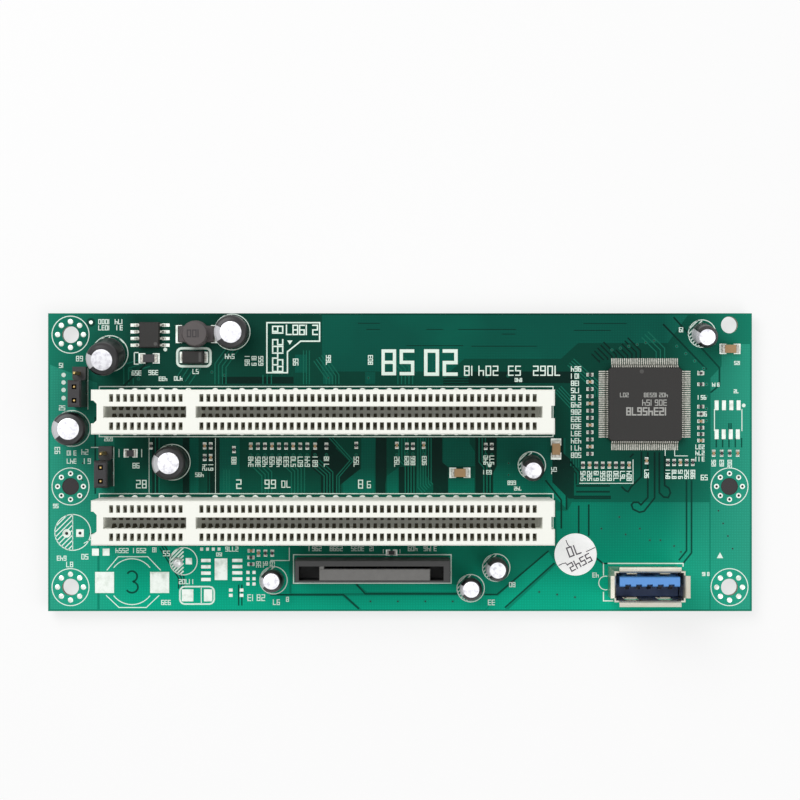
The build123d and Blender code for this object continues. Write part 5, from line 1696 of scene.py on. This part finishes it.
PLUG_TAIL_ROW = 1.0
USB_TAIL_ROW = 0.95
UNDER_LINE_START = -50.0
UNDER_LINE_STEP = 3.1
UNDER_LINES = 24
can_tails = [(x + side * CAN_LEADS[size] / 2, y) for _, x, y, size, *_ in CANS for side in (-1, 1)]
plug_tails = [(x, plug_y + (i % 2 * 2 - 1) * PLUG_TAIL_ROW) for i, x in enumerate(plug_xs)]
usb_tails = [(usb_x + step, usb_y + USB_TAIL_ROW) for step in USB_NOTCH_STEPS]
usb_tails += [(usb_x + step, usb_y - USB_TAIL_ROW) for step in USB_FAR_STEPS]
make_tails("part_tails", can_tails + plug_tails + usb_tails, "component_joints")

under_pours = [
    (
        (LEFT, REAR), *around_hole(HOLE_REAR_Y, LEFT), (LEFT, 15.2), (RIGHT, 15.2), (RIGHT, 22.0),
        (60.5, 22.0), (60.5, REAR),
    ),
    ((30.2, FRONT), (RIGHT, FRONT), *RIGHT_HOLES, (RIGHT, 14.4), (30.2, 14.4)),
    ((LEFT, -16.4), *around_hole(HOLE_FRONT_Y, LEFT), (LEFT, FRONT), (29.4, FRONT), (29.4, -16.4)),
    ((-57.2, 4.2), (-57.2, -5.4), (29.4, -5.4), (29.4, 4.2)),
]
under_xs = UNDER_LINE_START + UNDER_LINE_STEP * np.arange(UNDER_LINES)
under_coats = [
    (joined([filled_shape(outline, *UNDER_POUR) for outline in under_pours]), pour_mask),
    (joined([ribbon([(x, 3.4), (x, -4.6)], TRACE_WIDTH, *UNDER_LINE) for x in under_xs]), gap_mask),
]
make_piece("underside_copper", under_coats)
for side in ("left", "right"):
    coat_node(f"rubber_foot_{side}", rubber_skin)
coat_node("circuit_board", board_mask)

# Floor, lights and camera: places in metres, the camera's from the board in millimetres

FLOOR_REACH = 3.0
FLOOR_WHITE = 0.7
WORLD_STRENGTH = 0.42
CAMERA_HEIGHT = 395.0
CAMERA_Y = 11.8
CAMERA_LENS = 93.7
SENSOR_WIDTH = 36.0


def seen_directly(tree):
    """One for rays from the camera, a reflection or through a clear piece, none for scattered light."""
    rays = add_node(tree, "ShaderNodeLightPath").outputs
    seen = math_node(tree, "ADD", rays["Is Camera Ray"], rays["Is Glossy Ray"])
    return math_node(tree, "ADD", seen, rays["Is Transmission Ray"], clamp=True)


def plain_material(name, tone, lift):
    """A pale stage surface: camera and reflections also see a share of plain white."""
    material, tree, shader = new_material(name, 0.9, specular=0.0)
    speckle = use_group(tree, grain, Color=tone, Speck_Scale=400.0, Blotch_Scale=4.0, Spread=0.005)
    tree.links.new(speckle["Color"], shader.inputs["Base Color"])
    white_share = math_node(tree, "MULTIPLY", seen_directly(tree), lift)
    glow = add_node(tree, "ShaderNodeEmission", Color=(1, 1, 1, 1), Strength=1.0)
    blend = add_node(tree, "ShaderNodeMixShader", i0=white_share)
    tree.links.new(shader.outputs[0], blend.inputs[1])
    tree.links.new(glow.outputs[0], blend.inputs[2])
    tree.links.new(blend.outputs[0], tree.nodes["Material Output"].inputs["Surface"])
    return material


def make_floor():
    """A flat floor under the pegs, far wider than the view."""
    mesh = bpy.data.meshes.new("floor")
    corners = rectangle(2 * FLOOR_REACH, 2 * FLOOR_REACH)
    mesh.from_pydata([(x, y, 0) for x, y in corners], [], [(0, 1, 2, 3)])
    mesh.materials.append(plain_material("white floor", (0.9, 0.9, 0.9, 1), FLOOR_WHITE))
    floor = bpy.data.objects.new("floor", mesh)
    bpy.context.scene.collection.objects.link(floor)


def make_world(diffuse_strength):
    """A pale world: plain white to the camera and in reflections, dimmer as a light."""
    world = bpy.data.worlds.new("studio")
    world.use_nodes = True
    bpy.context.scene.world = world
    tree = world.node_tree
    extra = math_node(tree, "MULTIPLY", seen_directly(tree), 1.0 - diffuse_strength)
    background = tree.nodes["Background"]
    background.inputs["Color"].default_value = (1, 1, 1, 1)
    tree.links.new(math_node(tree, "ADD", extra, diffuse_strength), background.inputs["Strength"])


def make_lamp(name, place, size, watts):
    """A square lamp that faces the board."""
    lamp = bpy.data.lights.new(name, "AREA")
    lamp.shape = "SQUARE"
    lamp.size = size
    lamp.energy = watts
    stand = bpy.data.objects.new(name, lamp)
    stand.location = place
    to_board = -stand.location
    stand.rotation_euler = to_board.to_track_quat("-Z", "Y").to_euler()
    bpy.context.scene.collection.objects.link(stand)


make_floor()
make_world(WORLD_STRENGTH)
make_lamp("key lamp", (-0.3, 0.35, 0.6), 0.5, 3.2)
make_lamp("fill lamp", (0.4, -0.3, 0.55), 0.6, 1.8)
camera_data = bpy.data.cameras.new("camera")
camera_data.lens = CAMERA_LENS
camera_data.sensor_width = SENSOR_WIDTH
camera = bpy.data.objects.new("camera", camera_data)
camera.location = (0.0, CAMERA_Y * MM, (TOP + CAMERA_HEIGHT) * MM)
bpy.context.scene.collection.objects.link(camera)
bpy.context.scene.camera = camera
bpy.context.scene.view_settings.view_transform = "Standard"
